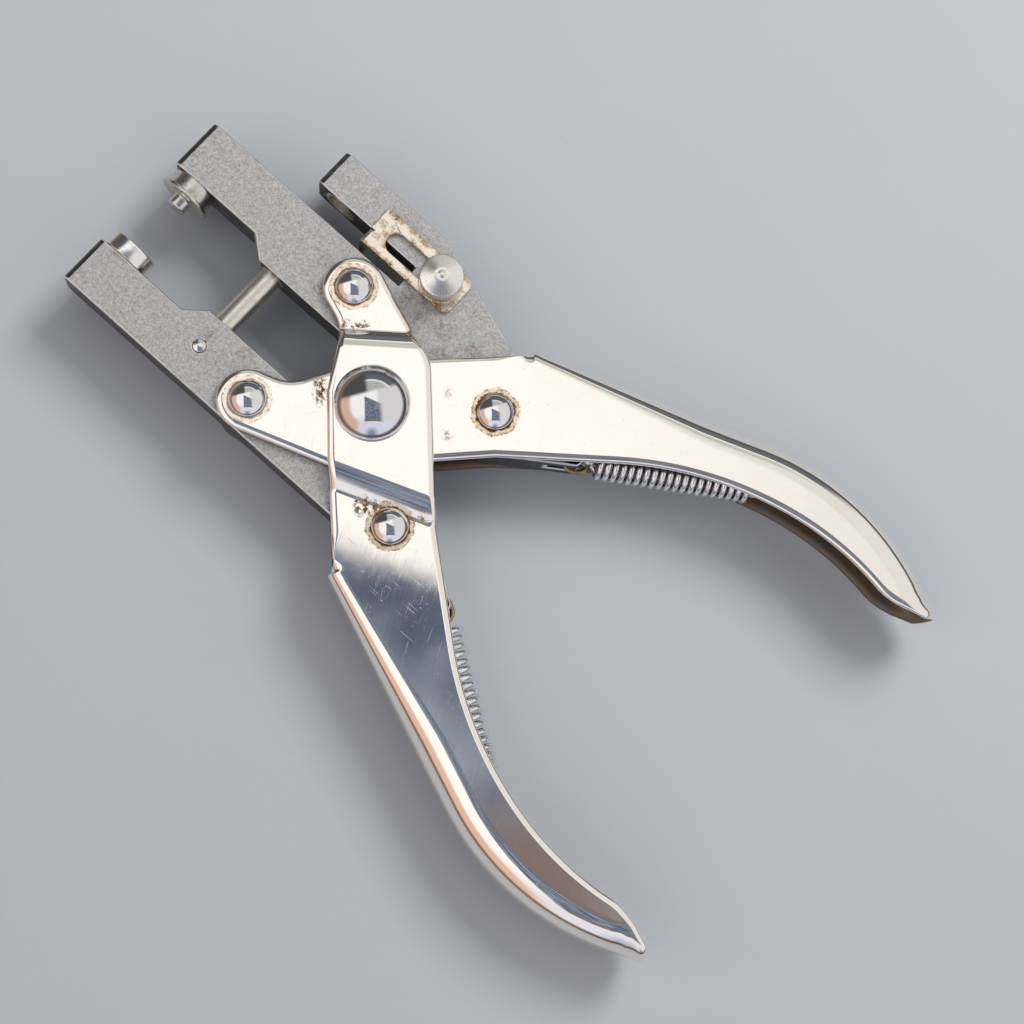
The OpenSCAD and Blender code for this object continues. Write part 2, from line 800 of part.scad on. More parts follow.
main_pivot_rivet();
pivot_sleeve();
inner_handle();
straight_jaw_hinge_rivet();
forked_jaw_slide_rivet();
inner_spring_anchor_pin();
inner_return_spring();
inner_spring_link();
outer_handle();
forked_jaw_hinge_rivet();
straight_jaw_slide_rivet();
outer_spring_anchor_pin();
outer_return_spring();
outer_spring_link();
forked_jaw();
setting_die();
punch_die_bush();
forked_jaw_tail_pin();
straight_jaw();
cup_die();
punch_rod();
punch_cross_pin();
straight_jaw_tail_pin();
gauge_plate();
gauge_washer();
thumb_screw();
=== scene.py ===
from math import acos, asin, atan2, cos, hypot, pi, radians, sin

import bmesh
import bpy
from mathutils import Matrix, Vector


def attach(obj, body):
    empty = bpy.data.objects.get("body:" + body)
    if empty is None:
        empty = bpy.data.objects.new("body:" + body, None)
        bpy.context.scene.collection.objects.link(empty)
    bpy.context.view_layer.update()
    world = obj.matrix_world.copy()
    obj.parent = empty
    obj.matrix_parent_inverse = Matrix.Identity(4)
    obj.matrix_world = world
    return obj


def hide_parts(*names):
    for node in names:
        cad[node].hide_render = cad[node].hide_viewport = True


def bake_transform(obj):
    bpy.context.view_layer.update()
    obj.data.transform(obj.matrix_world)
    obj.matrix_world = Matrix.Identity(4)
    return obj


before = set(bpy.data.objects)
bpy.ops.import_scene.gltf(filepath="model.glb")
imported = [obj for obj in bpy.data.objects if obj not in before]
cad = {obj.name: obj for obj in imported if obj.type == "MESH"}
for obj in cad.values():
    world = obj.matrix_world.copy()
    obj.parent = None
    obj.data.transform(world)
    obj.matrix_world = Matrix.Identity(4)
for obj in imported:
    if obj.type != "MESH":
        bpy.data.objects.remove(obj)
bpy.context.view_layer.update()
scene = bpy.context.scene
scene.view_settings.view_transform = "Standard"
print("frame loaded with", len(cad), "solids")

# Shapes are drawn in millimetres and these places bring them to metres
mm = 0.001
linkage = {
    "arm": 22, "openAngle": 39.5, "tailBack": 16, "tailOut": 3.8, "anchor": (-74.3, -10.9),
    "middle": 8.9, "jawHalf": 3.9, "cheekIn": 4.05, "cheekOut": 5.65, "raisedOut": 7.4,
}
arm = linkage["arm"]
openAngle = radians(linkage["openAngle"])
hingeX = arm * cos(openAngle)
hingeY = arm * sin(openAngle)
flipY = Matrix.Diagonal((1, -1, 1, 1))
turnOpen = Matrix.Rotation(-openAngle, 4, "Z")
acrossJaw = Matrix.Rotation(radians(-90), 4, "X")
pivotPlace = Matrix.Scale(mm, 4) @ Matrix.Translation((0, 0, linkage["middle"]))
outerPlace = pivotPlace @ turnOpen  # +X of a handle points to its front lobe, +Y to its spine
innerPlace = pivotPlace @ flipY @ turnOpen
forkedPlace = pivotPlace @ Matrix.Translation((hingeX, -hingeY, 0))  # +Y of a jaw points to the other jaw
straightPlace = pivotPlace @ Matrix.Translation((hingeX, hingeY, 0)) @ flipY

# Camera: nearly straight down, turned so that the jaws point to the upper left
view = {
    "place": (-0.04931, 0.06587, 0.38553), "turn": (9.6245, -4.9008, -138.4253),
    "lens": 74.99, "sensor": 36, "near": 0.01,
}
eye = bpy.data.objects.new("camera", bpy.data.cameras.new("camera"))
scene.collection.objects.link(eye)
eye.location = view["place"]
eye.rotation_euler = [radians(a) for a in view["turn"]]
eye.data.lens = view["lens"]
eye.data.sensor_width = view["sensor"]
eye.data.clip_start = view["near"]
scene.camera = eye


# A socket that takes Python operators, and one method for every other node
class Wire:
    def __init__(self, tree, socket=None):
        self.tree = tree
        self.socket = socket

    def add(self, kind, settings=None, inputs=None, out=0):
        node = self.tree.nodes.new("ShaderNode" + kind)
        for key, value in (settings or {}).items():
            setattr(node, key, value)
        for key, value in (inputs or {}).items():
            self.feed(node.inputs[key], value)
        return Wire(self.tree, node.outputs[out])

    def feed(self, target, value):
        if isinstance(value, Wire):
            self.tree.links.new(value.socket, target)
        elif target.type == "RGBA":
            target.default_value = (*value, 1)
        else:
            target.default_value = value

    def math(self, operation, first, second):
        return self.add("Math", {"operation": operation}, {0: first, 1: second})

    def __add__(self, other):
        return self.math("ADD", self, other)

    def __radd__(self, other):
        return self.math("ADD", other, self)

    def __sub__(self, other):
        return self.math("SUBTRACT", self, other)

    def __rsub__(self, other):
        return self.math("SUBTRACT", other, self)

    def __mul__(self, other):
        return self.math("MULTIPLY", self, other)

    def __rmul__(self, other):
        return self.math("MULTIPLY", other, self)

    def atMost(self, limit):
        return self.math("MINIMUM", self, limit)

    def atLeast(self, limit):
        return self.math("MAXIMUM", self, limit)

    def step(self, low, high):
        return self.add("MapRange", {"interpolation_type": "SMOOTHSTEP"}, {0: self, 1: low, 2: high})

    def mix(self, first, second):
        return self.add("Mix", {"data_type": "RGBA"}, {0: self, 6: first, 7: second}, 2)

    def vector(self, operation, other, out=0):
        slot = 3 if operation == "SCALE" else 1
        return self.add("VectorMath", {"operation": operation}, {0: self, slot: other}, out)

    def distance(self, point):
        return self.vector("DISTANCE", point, 1)

    def axis(self, k):
        return self.add("SeparateXYZ", None, {0: self}, k)

    def noise(self, scale, detail=3.0, rough=0.55):
        values = {"Vector": self, "Scale": scale, "Detail": detail, "Roughness": rough}
        return self.add("TexNoise", None, values)

    def noiseAlong(self, scale, detail, rough):
        values = {"W": self, "Scale": scale, "Detail": detail, "Roughness": rough}
        return self.add("TexNoise", {"noise_dimensions": "1D"}, values)

    def cells(self, scale):
        return self.add("TexVoronoi", {"feature": "SMOOTH_F1"}, {"Vector": self, "Scale": scale})

    def turned(self, angle, stretch, centre=(0, 0, 0)):
        values = {"Vector": self.vector("SUBTRACT", centre), "Rotation": (0, 0, radians(angle))}
        return self.add("Mapping", {"vector_type": "POINT"}, values).vector("MULTIPLY", stretch)


def newFinish(name):
    made = bpy.data.materials.new(name)
    made.use_nodes = True
    place = Wire(made.node_tree).add("TexCoord", out="Object").vector("SCALE", 1 / mm)  # now in millimetres
    return made, place


# The bump is its height, strength and depth in millimetres
def dress(made, place, colour, roughness, metallic, bump):
    inputs = made.node_tree.nodes["Principled BSDF"].inputs
    height, strength, depth = bump
    place.feed(inputs["Base Color"], colour)
    place.feed(inputs["Roughness"], roughness)
    place.feed(inputs["Metallic"], metallic)
    normal = place.add("Bump", None, {"Strength": strength, "Distance": depth * mm, "Height": height})
    place.feed(inputs["Normal"], normal)
    return made


def scaled(colour, share):
    return [c * share for c in colour]


# Fine scratches: thin streaks kept where a broad noise lets them show
def scratches(place, angles, fine):
    marks = 0
    for k, angle in enumerate(angles):
        streak = place.turned(angle, (0.12, fine, fine), (13.7 * k, 5.1 * k, 0)).noise(1, 2, 0.5)
        patch = place.turned(angle, (0.3, 0.3, 0.3), (31 * k, 0, 7)).noise(1, 2, 0.5)
        marks = streak.step(0.66, 0.71) * patch.step(0.45, 0.6) + marks
    return marks


# Bright nickel with a warm tone, worn and stained round the rivets
plateLook = {
    "clean": (0.97, 0.925, 0.86), "worn": (0.88, 0.81, 0.72), "pit": (0.45, 0.38, 0.32),
    "rust": (0.13, 0.065, 0.02), "gold": (0.62, 0.35, 0.10), "rough": 0.04,
}


def nickelPlate(name, grainAngle, rivets, dirt):
    made, place = newFinish(name)
    cloud = place.noise(0.06, 4, 0.6).step(0.42, 0.72)
    speck = place.noise(0.55, 5, 0.7)
    grain = place.turned(grainAngle, (0.05, 1.6, 1.6)).noise(1, 4, 0.6)
    marks = scratches(place, (grainAngle, grainAngle + 7, grainAngle - 63), 4.5)
    pits = place.noise(2.4, 2).step(0.70, 0.75) * place.noise(0.3, 2).step(0.45, 0.6)
    dust = place.noise(0.9, 6, 0.8).step(0.47, 0.56)
    flat = place.vector("MULTIPLY", (1, 1, 0))
    rust = 0
    gold = 0
    for x, y, radius, amount in rivets:
        away = flat.distance((x, y, 0)) + (speck - 0.5) * 1.9
        seam = away.step(radius + 0.4, radius + 0.15)
        rim = away.step(radius + 0.8, radius + 0.95) * away.step(radius + 1.15, radius + 1.05)
        rust = (seam + rim * dust * 0.6) * amount + rust
        gold = away.step(radius + 1.3, radius + 0.8) * (0.55 + dust * 0.45) * amount + gold
    for x, y, radius, amount in dirt:
        away = flat.distance((x, y, 0)) + (speck - 0.5) * 3
        mark = away.step(radius + 1.3, radius) * dust * amount
        rust = mark + rust
        gold = mark + gold
    rust = rust.atMost(1)
    gold = gold.atMost(1) * 0.8
    tint = (cloud * 0.3 + (grain - 0.5) * 0.3).mix(plateLook["clean"], plateLook["worn"])
    tint = (marks * 0.05 + pits * 0.12).mix(tint, plateLook["pit"])
    tint = gold.mix(tint, plateLook["gold"])
    rough = (grain - 0.5) * 0.04 + marks * 0.09 + pits * 0.3 + cloud * 0.03 + plateLook["rough"]
    rough = rough + rust * 0.5 + gold * 0.15
    height = grain * 0.16 - marks * 0.06 - pits * 0.2 + place.noise(0.10, 2) * 0.9 + rust * speck * 3
    return dress(made, place, rust.mix(tint, plateLook["rust"]), rough, 1 - rust * 0.75, (height, 0.3, 0.02))


# Unplated inside of the sheets: dull steel with brown rust
def rawSteel(name):
    made, place = newFinish(name)
    patches = place.noise(0.35, 5, 0.65)
    fine = place.noise(3, 4, 0.7)
    tint = (patches + (fine - 0.5) * 0.7).step(0.38, 0.58).mix((0.16, 0.15, 0.14), (0.20, 0.125, 0.055))
    return dress(made, place, tint, (fine - 0.5) * 0.2 + 0.5, 0.5, (fine, 0.3, 0.03))


# Polished rivet heads with hair scratches, and turning rings round a centre if there is one
def polished(name, colour, rough, ringCentre=None):
    made, place = newFinish(name)
    marks = scratches(place, (12, 71, 133), 4)
    haze = place.noise(0.5, 3)
    if ringCentre:
        rings = place.vector("MULTIPLY", (1, 1, 0)).distance(ringCentre).noiseAlong(3.5, 3, 0.5)
        haze = rings * 0.7 + haze * 0.3
    tint = (marks * 0.2 + (haze - 0.5) * 0.4).mix(colour, scaled(colour, 0.55))
    roughness = (haze - 0.5) * 0.06 + marks * 0.12 + rough
    return dress(made, place, tint, roughness, 1, (haze * 0.4 - marks * 0.4, 0.25, 0.01))


# Hammered grey enamel with small dark chips and places of rusty dirt
enamelLook = {
    "light": (0.60, 0.59, 0.58), "dark": (0.20, 0.195, 0.19),
    "chip": (0.055, 0.05, 0.05), "rust": (0.17, 0.115, 0.05),
}


def hammeredEnamel(name, dirt):
    made, place = newFinish(name)
    dimples = place.cells(1.6)
    mottle = place.noise(2.0, 4, 0.7)
    fine = place.noise(4.6, 3, 0.75)
    chips = place.noise(0.9, 6, 0.74).step(0.70, 0.715)
    grit = place.noise(1.3, 5, 0.8).step(0.44, 0.62)
    tone = dimples * 0.3 + (mottle - 0.5) * 1.6 + (fine - 0.5) * 2.5 + 0.25
    colour = tone.atLeast(0).atMost(1).mix(enamelLook["light"], enamelLook["dark"])
    colour = chips.mix(colour, enamelLook["chip"])
    for x, y, z, radius in dirt:
        away = place.distance((x, y, z)) + (mottle - 0.5) * 2
        colour = (away.step(radius * 1.8, radius * 0.3) * grit * 0.75).mix(colour, enamelLook["rust"])
    height = dimples * -0.8 + fine * 0.6 - chips * 0.6
    return dress(made, place, colour, (mottle - 0.5) * 0.25 + 0.36, 0.35, (height, 0.5, 0.05))


# Painted shade for the sides and ends of the jaws: nearly black, lighter grey in random patches
def paintedShadeSide(name):
    made, place = newFinish(name)
    patches = place.noise(0.5, 5, 0.7)
    fine = place.noise(3.4, 3, 0.7)
    lighterPatches = (patches + (fine - 0.5) * 0.5).step(0.52, 0.70)
    tint = lighterPatches.mix((0.045, 0.042, 0.042), (0.17, 0.165, 0.16))
    return dress(made, place, tint, (fine - 0.5) * 0.2 + 0.38, 0.4, (fine, 0.3, 0.03))


# Turned steel: fine rings along the axis of the piece, 0 to 2 for X to Z, and brown stains
def turnedSteel(name, colour, rough, axis, stain):
    made, place = newFinish(name)
    rings = place.vector("MULTIPLY", [9 if k == axis else 0.25 for k in range(3)]).noise(1, 3, 0.6)
    patches = place.noise(0.6, 4, 0.65).step(0.5, 0.75)
    tint = ((rings - 0.5) * 0.7 + 0.2).mix(colour, scaled(colour, 0.72))
    tint = (patches * stain).mix(tint, (0.22, 0.15, 0.08))
    return dress(made, place, tint, (rings - 0.5) * 0.2 + patches * 0.2 + rough, 1, (rings, 0.2, 0.01))


# Wire: drawn metal with small dull patches
def wireFinish(name, colour, rough):
    made, place = newFinish(name)
    patches = place.noise(0.9, 4, 0.6)
    tint = patches.step(0.35, 0.75).mix(colour, scaled(colour, 0.72))
    return dress(made, place, tint, (patches - 0.5) * 0.3 + rough, 1, (place.noise(5, 2), 0.15, 0.01))


# A point of a handle or a jaw in the object's own millimetres, where the finishes are drawn
def objectPoint(place, x, y, z=0):
    return tuple(place @ Vector((x, y, z)) / mm)


# Stained places of a handle as x, y, radius and amount
def spots(place, *given):
    return [(*objectPoint(place, x, y)[:2], radius, amount) for x, y, radius, amount in given]


# Stained places of a jaw as x, y, z and radius
def stains(place, *given):
    return [(*objectPoint(place, x, y, z), radius) for x, y, z, radius in given]


outerRivets = spots(outerPlace, (arm, 0, 3.3, 0.75), (-arm, 0, 3.3, 1))
innerRivets = spots(innerPlace, (arm, 0, 3.3, 0.5), (-arm, 0, 3.3, 1))
outerDirt = spots(
    outerPlace, (14.9, 2.5, 0.2, 0.9), (14.6, 1, 0.2, 1), (14.3, -0.6, 0.2, 0.8),
    (-17.6, 4.2, 0.9, 1), (-18.2, 2.4, 0.6, 0.9), (-21.6, -6.2, 0.3, 0.7))
innerDirt = spots(
    innerPlace, (9.1, 0.6, 0.4, 1), (9.3, 1.9, 0.4, 1), (9.5, 3.4, 0.4, 0.9),
    (-13.5, 3, 0.1, 0.4), (-13.6, -4.6, 0.1, 0.4))
forkedStains = stains(
    forkedPlace, (7.4, -0.4, 3.9, 1.2), (4.6, 4.5, 3.9, 1.2), (-8, -5.2, 3.9, 1.3), (-12, -3.6, 3.9, 1.2),
    (-17, -5.4, 3.9, 1.6), (-20, -1, 3.9, 2), (-23.5, -6, 3.9, 1.6), (-33, 0, 3.9, 4), (-44, 0, 0, 6))
straightStains = stains(
    straightPlace, (-1, 5.6, 3.9, 1), (13.3, 4.5, 3.9, 1), (6, 6, 3.9, 1), (-33, 0, 3.9, 4), (-44, 0, 0, 6))
finishes = {
    "outerPlate": nickelPlate("outer nickel", 62, outerRivets, outerDirt),
    "innerPlate": nickelPlate("inner nickel", -62, innerRivets, innerDirt),
    "inside": rawSteel("sheet inside"),
    "rivet": polished("rivet nickel", (0.84, 0.83, 0.84), 0.05),
    "pivot": polished("pivot dome", (0.80, 0.80, 0.81), 0.05, (0, 0, 0)),
    "forkedEnamel": hammeredEnamel("forked jaw enamel", forkedStains),
    "straightEnamel": hammeredEnamel("straight jaw enamel", straightStains),
    "wornEdge": turnedSteel("worn enamel edge", (0.82, 0.81, 0.80), 0.36, 2, 0.35),
    # The jaws' side finish is painted shade, near black
    "jawPaintedShade": paintedShadeSide("jaw side painted shade"),
    "die": turnedSteel("die steel", (0.95, 0.94, 0.91), 0.16, 1, 0.2),
    "dullDie": turnedSteel("setting die steel", (0.74, 0.71, 0.64), 0.24, 1, 0.35),
    "rod": turnedSteel("punch steel", (1.0, 0.94, 0.82), 0.33, 1, 0.15),
    "crossPin": turnedSteel("cross pin steel", (0.92, 0.88, 0.87), 0.12, 2, 0.2),
    "pin": turnedSteel("pin steel", (0.55, 0.54, 0.52), 0.3, 2, 0.25),
    "spring": wireFinish("spring wire", (0.96, 0.97, 0.99), 0.24),
    "link": wireFinish("link wire", (0.50, 0.35, 0.18), 0.28),
}
print("finishes ready")

# An edge's rounding is its width in millimetres, segments and least angle in degrees
fineEdge = (0.05, 2, 50)  # for small turned pieces
weld = 0.001  # points of a sheet closer than this become one, in millimetres
closeWeld = 0.0001  # the same for turned pieces and wires


# Brings a drawn piece to its place in metres, with its finishes, its wall and its rounded edges
def finishPiece(bm, name, place, finish, bevel=None, walls=None, more=()):
    bm.transform(place)
    if place.is_negative:
        bmesh.ops.reverse_faces(bm, faces=bm.faces)
    mesh = bpy.data.meshes.new(name)
    bm.to_mesh(mesh)
    bm.free()
    piece = bpy.data.objects.new(name, mesh)
    scene.collection.objects.link(piece)
    for each in (finish, *more):
        mesh.materials.append(finishes[each])
    mesh.shade_smooth()
    aims = mesh.attributes.get("aim")
    if aims:
        turn = place.to_3x3()
        normals = [(turn @ each.vector).normalized() for each in aims.data]
        mesh.normals_split_custom_set_from_vertices(normals)
    if walls:
        solid = piece.modifiers.new("sheet", "SOLIDIFY")
        solid.thickness = walls * mm
        solid.offset = -1
    if bevel:
        width, segments, angle = bevel
        rounding = piece.modifiers.new("edges", "BEVEL")
        rounding.width = width * mm
        rounding.segments = segments
        rounding.limit_method = "ANGLE"
        rounding.angle_limit = radians(angle)
        rounding.use_clamp_overlap = False
        if len(more) > 1:
            rounding.material = 2  # the second of the other finishes is for the edges
    if bevel or walls:
        weighted = piece.modifiers.new("shading", "WEIGHTED_NORMAL")
        weighted.keep_sharp = True
    return piece


def show(piece, body, slotName, *nodes):
    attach(piece, body)
    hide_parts(*nodes)


def whole(bm):
    return bm.verts[:] + bm.edges[:] + bm.faces[:]


def arcPoints(cx, cy, radius, start, stop, steps):
    angles = [radians(start + (stop - start) * k / steps) for k in range(steps + 1)]
    return [(cx + radius * cos(a), cy + radius * sin(a)) for a in angles]


def circle(x, y, radius, steps=48):
    return arcPoints(x, y, radius, 0, 360, steps)[:-1]


def fillPlan(bm, outline, holes, z):
    edges = []
    for loop in (outline, *holes):
        verts = [bm.verts.new((x, y, z)) for x, y in loop]
        edges += [bm.edges.new((verts[k - 1], verts[k])) for k in range(len(verts))]
    bmesh.ops.triangle_fill(bm, use_beauty=True, use_dissolve=False, edges=edges)


# A turned piece from its half profile, given as radius and height
def lathe(profile, steps=64):
    bm = bmesh.new()
    verts = [bm.verts.new((r, 0, z)) for r, z in profile]
    edges = [bm.edges.new(pair) for pair in zip(verts, verts[1:])]
    bmesh.ops.spin(bm, geom=verts + edges, cent=(0, 0, 0), axis=(0, 0, 1), angle=2 * pi, steps=steps,
                   use_merge=True)
    bmesh.ops.remove_doubles(bm, verts=bm.verts, dist=closeWeld)
    bmesh.ops.recalc_face_normals(bm, faces=bm.faces)
    return bm


def domeProfile(radius, height, base, steps=14):
    ball = (radius ** 2 + height ** 2) / (2 * height)
    rim = asin(radius / ball)
    angles = [rim * (1 - k / steps) for k in range(steps + 1)]
    return [(ball * sin(a), base + height - ball + ball * cos(a)) for a in angles]


# Profiles of a hollow and of a solid turned piece
def tube(outer, inner, low, high, edge=0.12):
    wall = [(outer - edge, low), (outer, low + edge), (outer, high - edge), (outer - edge, high)]
    return [(inner, low), *wall, (inner, high), (inner, low)]


def rod(radius, low, high, edge=0.12):
    wall = [(radius - edge, low), (radius, low + edge), (radius, high - edge), (radius - edge, high)]
    return [(0, low), *wall, (0, high)]


# One sheet handle: the flat cheeks, the folded spine and the tapering open grip.
# The spine and the mouth are each a start, a heading and legs of length and turn
handle = {
    "sheet": 1.6, "rim": 1.3, "tightRim": 0.4, "holeRim": 0.8, "rimSteps": 10,
    "fold": 2.6, "fullRound": 5.6, "fullRoundAt": 34, "cornerSteps": 10, "stations": 62, "length": 91.27,
    "spine": ((-28.5, 12.2), 198.4, [(46, 0), (50 * radians(45), 45), (6, 0)]),
    "mouth": ((-28.5, -8.1), 180, [
        (15.5, 0), (68.3 * radians(27), 27), (58.1 * radians(20), 20), (12.1 * radians(31), -31)]),
    "match": [(0, 0), (46, 41), (65.6, 56), (84.5, 70), (88, 75.4), (91.3, 79.4)],
    "flare": (-26.2, 10.4), "flareRings": 8, "foldCorner": (-28, 11.5), "narrowFrom": 2.5, "narrowRun": 4,
    "lobe": 5.6, "shoulder": (14.9, 11.5, 7.7), "belly": (5.2, -3.6, 7.8), "mouthStart": -22.2,
    "back": [(3.1, 7.6), (-7.6, 9)], "backSlope": 0.097,
    "nearFold": (-19.5, -20.5, -21.5, -22.5, -23.5, -24.5, -25.4),
    "bores": [(0, 3.05), (arm, 2.02), (-arm, 2.02)],
    "folds": [
        {"x": 11.6, "angle": 11, "run": 2.2, "way": 1, "topBend": 1.7, "footBend": 0.3},
        {"x": -15.5, "angle": 29, "run": 3.0, "way": -1, "topBend": 1.7, "footBend": 0.35}],
}


# The point at s along a line of straight and bent legs
def walk(at, heading, legs, s):
    x, y = at
    for length, turn in legs + [(1e6, 0)]:
        part = min(s, length)
        angle = turn * part / length
        chord = part if turn == 0 else 2 * length / radians(turn) * sin(radians(angle) / 2)
        x += chord * cos(radians(heading + angle / 2))
        y += chord * sin(radians(heading + angle / 2))
        heading += angle
        s -= part
        if s <= 0:
            return Vector((x, y, 0))


def lookup(s, table):
    for (a, fromValue), (b, toValue) in zip(table, table[1:]):
        if s <= b:
            return fromValue + (toValue - fromValue) * (s - a) / (b - a)
    return table[-1][1]


# Upper half of the U section at s along the spine, as far as the start of the rounded rim
def gripRing(s):
    spine = walk(*handle["spine"], s)
    mouth = walk(*handle["mouth"], lookup(s, handle["match"]))
    inward = (mouth - spine).normalized()
    depth = (mouth - spine).length - handle["rim"]
    rounder = (handle["fullRound"] - handle["fold"]) * s / handle["fullRoundAt"]
    r = min(handle["fullRound"], handle["fold"] + rounder)
    top = linkage["cheekOut"]
    full = depth > r
    turn = pi / 2 if full else acos(1 - depth / r)
    parts = handle["cornerSteps"] if full else handle["cornerSteps"] + 1
    angles = [turn * k / parts for k in range(parts + 1)]
    section = [(r - r * cos(a), top - r + r * sin(a)) for a in angles]
    if full:
        section.append((depth, top))
    return [spine] + [spine + inward * d + Vector((0, 0, z)) for d, z in section]


# The fold's open front: the sheet curls down while its edge flares out to the spine
def flareRing(t):
    r = handle["fold"]
    flareX, flareY = handle["flare"]
    top = linkage["cheekOut"]
    corner = walk(*handle["spine"], handle["tightRim"])
    x = flareX + (corner.x - flareX) * t
    edge = flareY + (corner.y - flareY) * t * t
    start = pi / 2 * (1 - t)
    wall = edge + r * (1 - cos(start))
    steps = handle["cornerSteps"]
    angles = [start + (pi / 2 - start) * k / steps for k in range(steps + 1)]
    section = [Vector((x, wall - r + r * cos(a), top - r + r * sin(a))) for a in angles]
    return section + [Vector((x, handle["mouth"][0][1] + handle["rim"], top))]


# The rounded rim is narrow round the front corner of the fold
def rimReach(x, y):
    cornerX, cornerY = handle["foldCorner"]
    away = hypot(x - cornerX, y - cornerY) - handle["narrowFrom"]
    share = min(max(away / handle["narrowRun"], 0), 1)
    return handle["tightRim"] + (handle["rim"] - handle["tightRim"]) * share * share * (3 - 2 * share)


# Extrudes a chain of vertices through rings of points, and keeps a normal for each if they are given
def sweepOn(bm, chain, rings, aims=None):
    aim = bm.verts.layers.float_vector.get("aim")
    for k, ring in enumerate(rings):
        edges = [bm.edges.get(pair) for pair in zip(chain, chain[1:])]
        made = bmesh.ops.extrude_edge_only(bm, edges=edges)["geom"]
        fresh = {v for v in made if isinstance(v, bmesh.types.BMVert)}
        chain = [next(e.other_vert(v) for e in v.link_edges if e.other_vert(v) in fresh) for v in chain]
        for vert, at in zip(chain, ring):
            vert.co = at
        if aims:
            for vert, way in zip(chain, aims[k]):
                vert[aim] = way
    return chain


# How far the lifted cheek stands above the low one, 0 to 1, with a wide top bend and a tight foot
def foldShare(point, fold):
    angle = radians(fold["angle"])
    run, topBend, footBend = fold["run"], fold["topBend"], fold["footBend"]
    t = ((point.x - fold["x"]) * cos(angle) - point.y * sin(angle)) * fold["way"]
    if t < -topBend:
        return 1
    if t > run + footBend:
        return 0
    if t < topBend:
        return 1 - (t + topBend) ** 2 / (4 * topBend * run)
    if t > run - footBend:
        return (run + footBend - t) ** 2 / (4 * footBend * run)
    return 1 - t / run


# Raises the cheek between its two folds, after cuts along them that let it bend
def liftCheek(bm):
    for fold in handle["folds"]:
        angle = radians(fold["angle"])
        across = Vector((cos(angle), -sin(angle), 0))
        cuts = [fold["topBend"] * k / 6 for k in range(-6, 7)]
        cuts += [fold["run"] + fold["footBend"] * k / 3 for k in range(-3, 4)]
        for cut in cuts:
            onPlane = Vector((fold["x"], 0, 0)) + across * cut * fold["way"]
            bmesh.ops.bisect_plane(bm, geom=whole(bm), dist=1e-5, plane_co=onPlane, plane_no=across)
    rise = linkage["raisedOut"] - linkage["cheekOut"]
    for vert in bm.verts:
        if vert.co.x > handle["flare"][0]:
            vert.co.z += rise * min(foldShare(vert.co, fold) for fold in handle["folds"])


# Every open edge as a closed chain of vertices
def openChains(bm):
    left = {e for e in bm.edges if e.is_boundary}
    chains = []
    while left:
        edge = left.pop()
        chain = list(edge.verts)
        while chain[-1] != chain[0]:
            edge = next(e for e in chain[-1].link_edges if e in left)
            left.remove(edge)
            chain.append(edge.other_vert(chain[-1]))
        chains.append(chain)
    return chains


# Rings of points and normals that carry a rounded rim from one open edge to the inner skin
def rimRings(chain, aim, isHole):
    steps, sheet = handle["rimSteps"], handle["sheet"]
    rings = [[] for k in range(steps)]
    aims = [[] for k in range(steps)]
    for before, vert, after in zip(chain[-2:-1] + chain[:-1], chain, chain[1:] + chain[1:2]):
        centres = [face.calc_center_median() for face in vert.link_faces]
        inward = sum(centres, Vector()) / len(centres) - vert.co
        away = (after.co - before.co).cross(vert[aim]).normalized()
        if away.dot(inward) > 0:
            away.negate()
        reach = handle["holeRim"] if isHole else rimReach(vert.co.x, vert.co.y)
        for k in range(steps):
            turn = pi * (k + 1) / steps
            rings[k].append(vert.co + away * reach * sin(turn) - vert[aim] * sheet / 2 * (1 - cos(turn)))
            aims[k].append((away * sin(turn) * sheet / 2 + vert[aim] * cos(turn) * reach).normalized())
    return rings, aims


# Turns the outer skin into sheet: an inner skin, and a rounded rim along every open edge.
# Each vertex keeps its exact normal, and what lies inside takes the second finish
def thicken(bm):
    bm.normal_update()
    aim = bm.verts.layers.float_vector.new("aim")
    for vert in bm.verts:
        level = [f.normal for f in vert.link_faces if abs(f.normal.z) > 0.99999]
        vert[aim] = level[0] if level else vert.normal
    chains = openChains(bm)
    outline = max(chains, key=len)
    rims = [(chain, *rimRings(chain, aim, chain is not outline)) for chain in chains]
    for part in bmesh.ops.duplicate(bm, geom=whole(bm))["geom"]:
        if isinstance(part, bmesh.types.BMVert):
            part.co -= handle["sheet"] * part[aim]
            part[aim] = -part[aim]
        elif isinstance(part, bmesh.types.BMFace):
            part.material_index = 1
    half = handle["rimSteps"] // 2
    for chain, rings, aims in rims:
        middle = sweepOn(bm, chain, rings[:half], aims[:half])
        plated = set(bm.faces)
        sweepOn(bm, middle, rings[half:], aims[half:])
        for face in set(bm.faces) - plated:
            face.material_index = 1
    bmesh.ops.remove_doubles(bm, verts=bm.verts, dist=weld)
    bmesh.ops.recalc_face_normals(bm, faces=bm.faces)


# Outline of one flat cheek, drawn in by the width of the rim that is added later
def cheekOutline():
    rim = handle["rim"]
    low = handle["mouth"][0][1] + rim
    flareX, flareY = handle["flare"]
    backX, backY = handle["back"][-1]
    shoulderX, shoulderY, shoulderRadius = handle["shoulder"]
    bellyX, bellyY, bellyRadius = handle["belly"]
    nearFold = [(x, backY - (x - backX) * handle["backSlope"]) for x in handle["nearFold"]]
    outline = arcPoints(arm, 0, handle["lobe"] - rim, -67, 118, 44)
    outline += arcPoints(shoulderX, shoulderY, shoulderRadius + rim, -75, -113, 16)
    outline += [(x, y - rim) for x, y in handle["back"]]
    outline += [(x, y - rimReach(x, y)) for x, y in nearFold]
    outline += [(flareX, flareY), (flareX, low), (handle["mouthStart"], low)]
    return outline + arcPoints(bellyX, bellyY, bellyRadius - rim, -98, -67, 10)


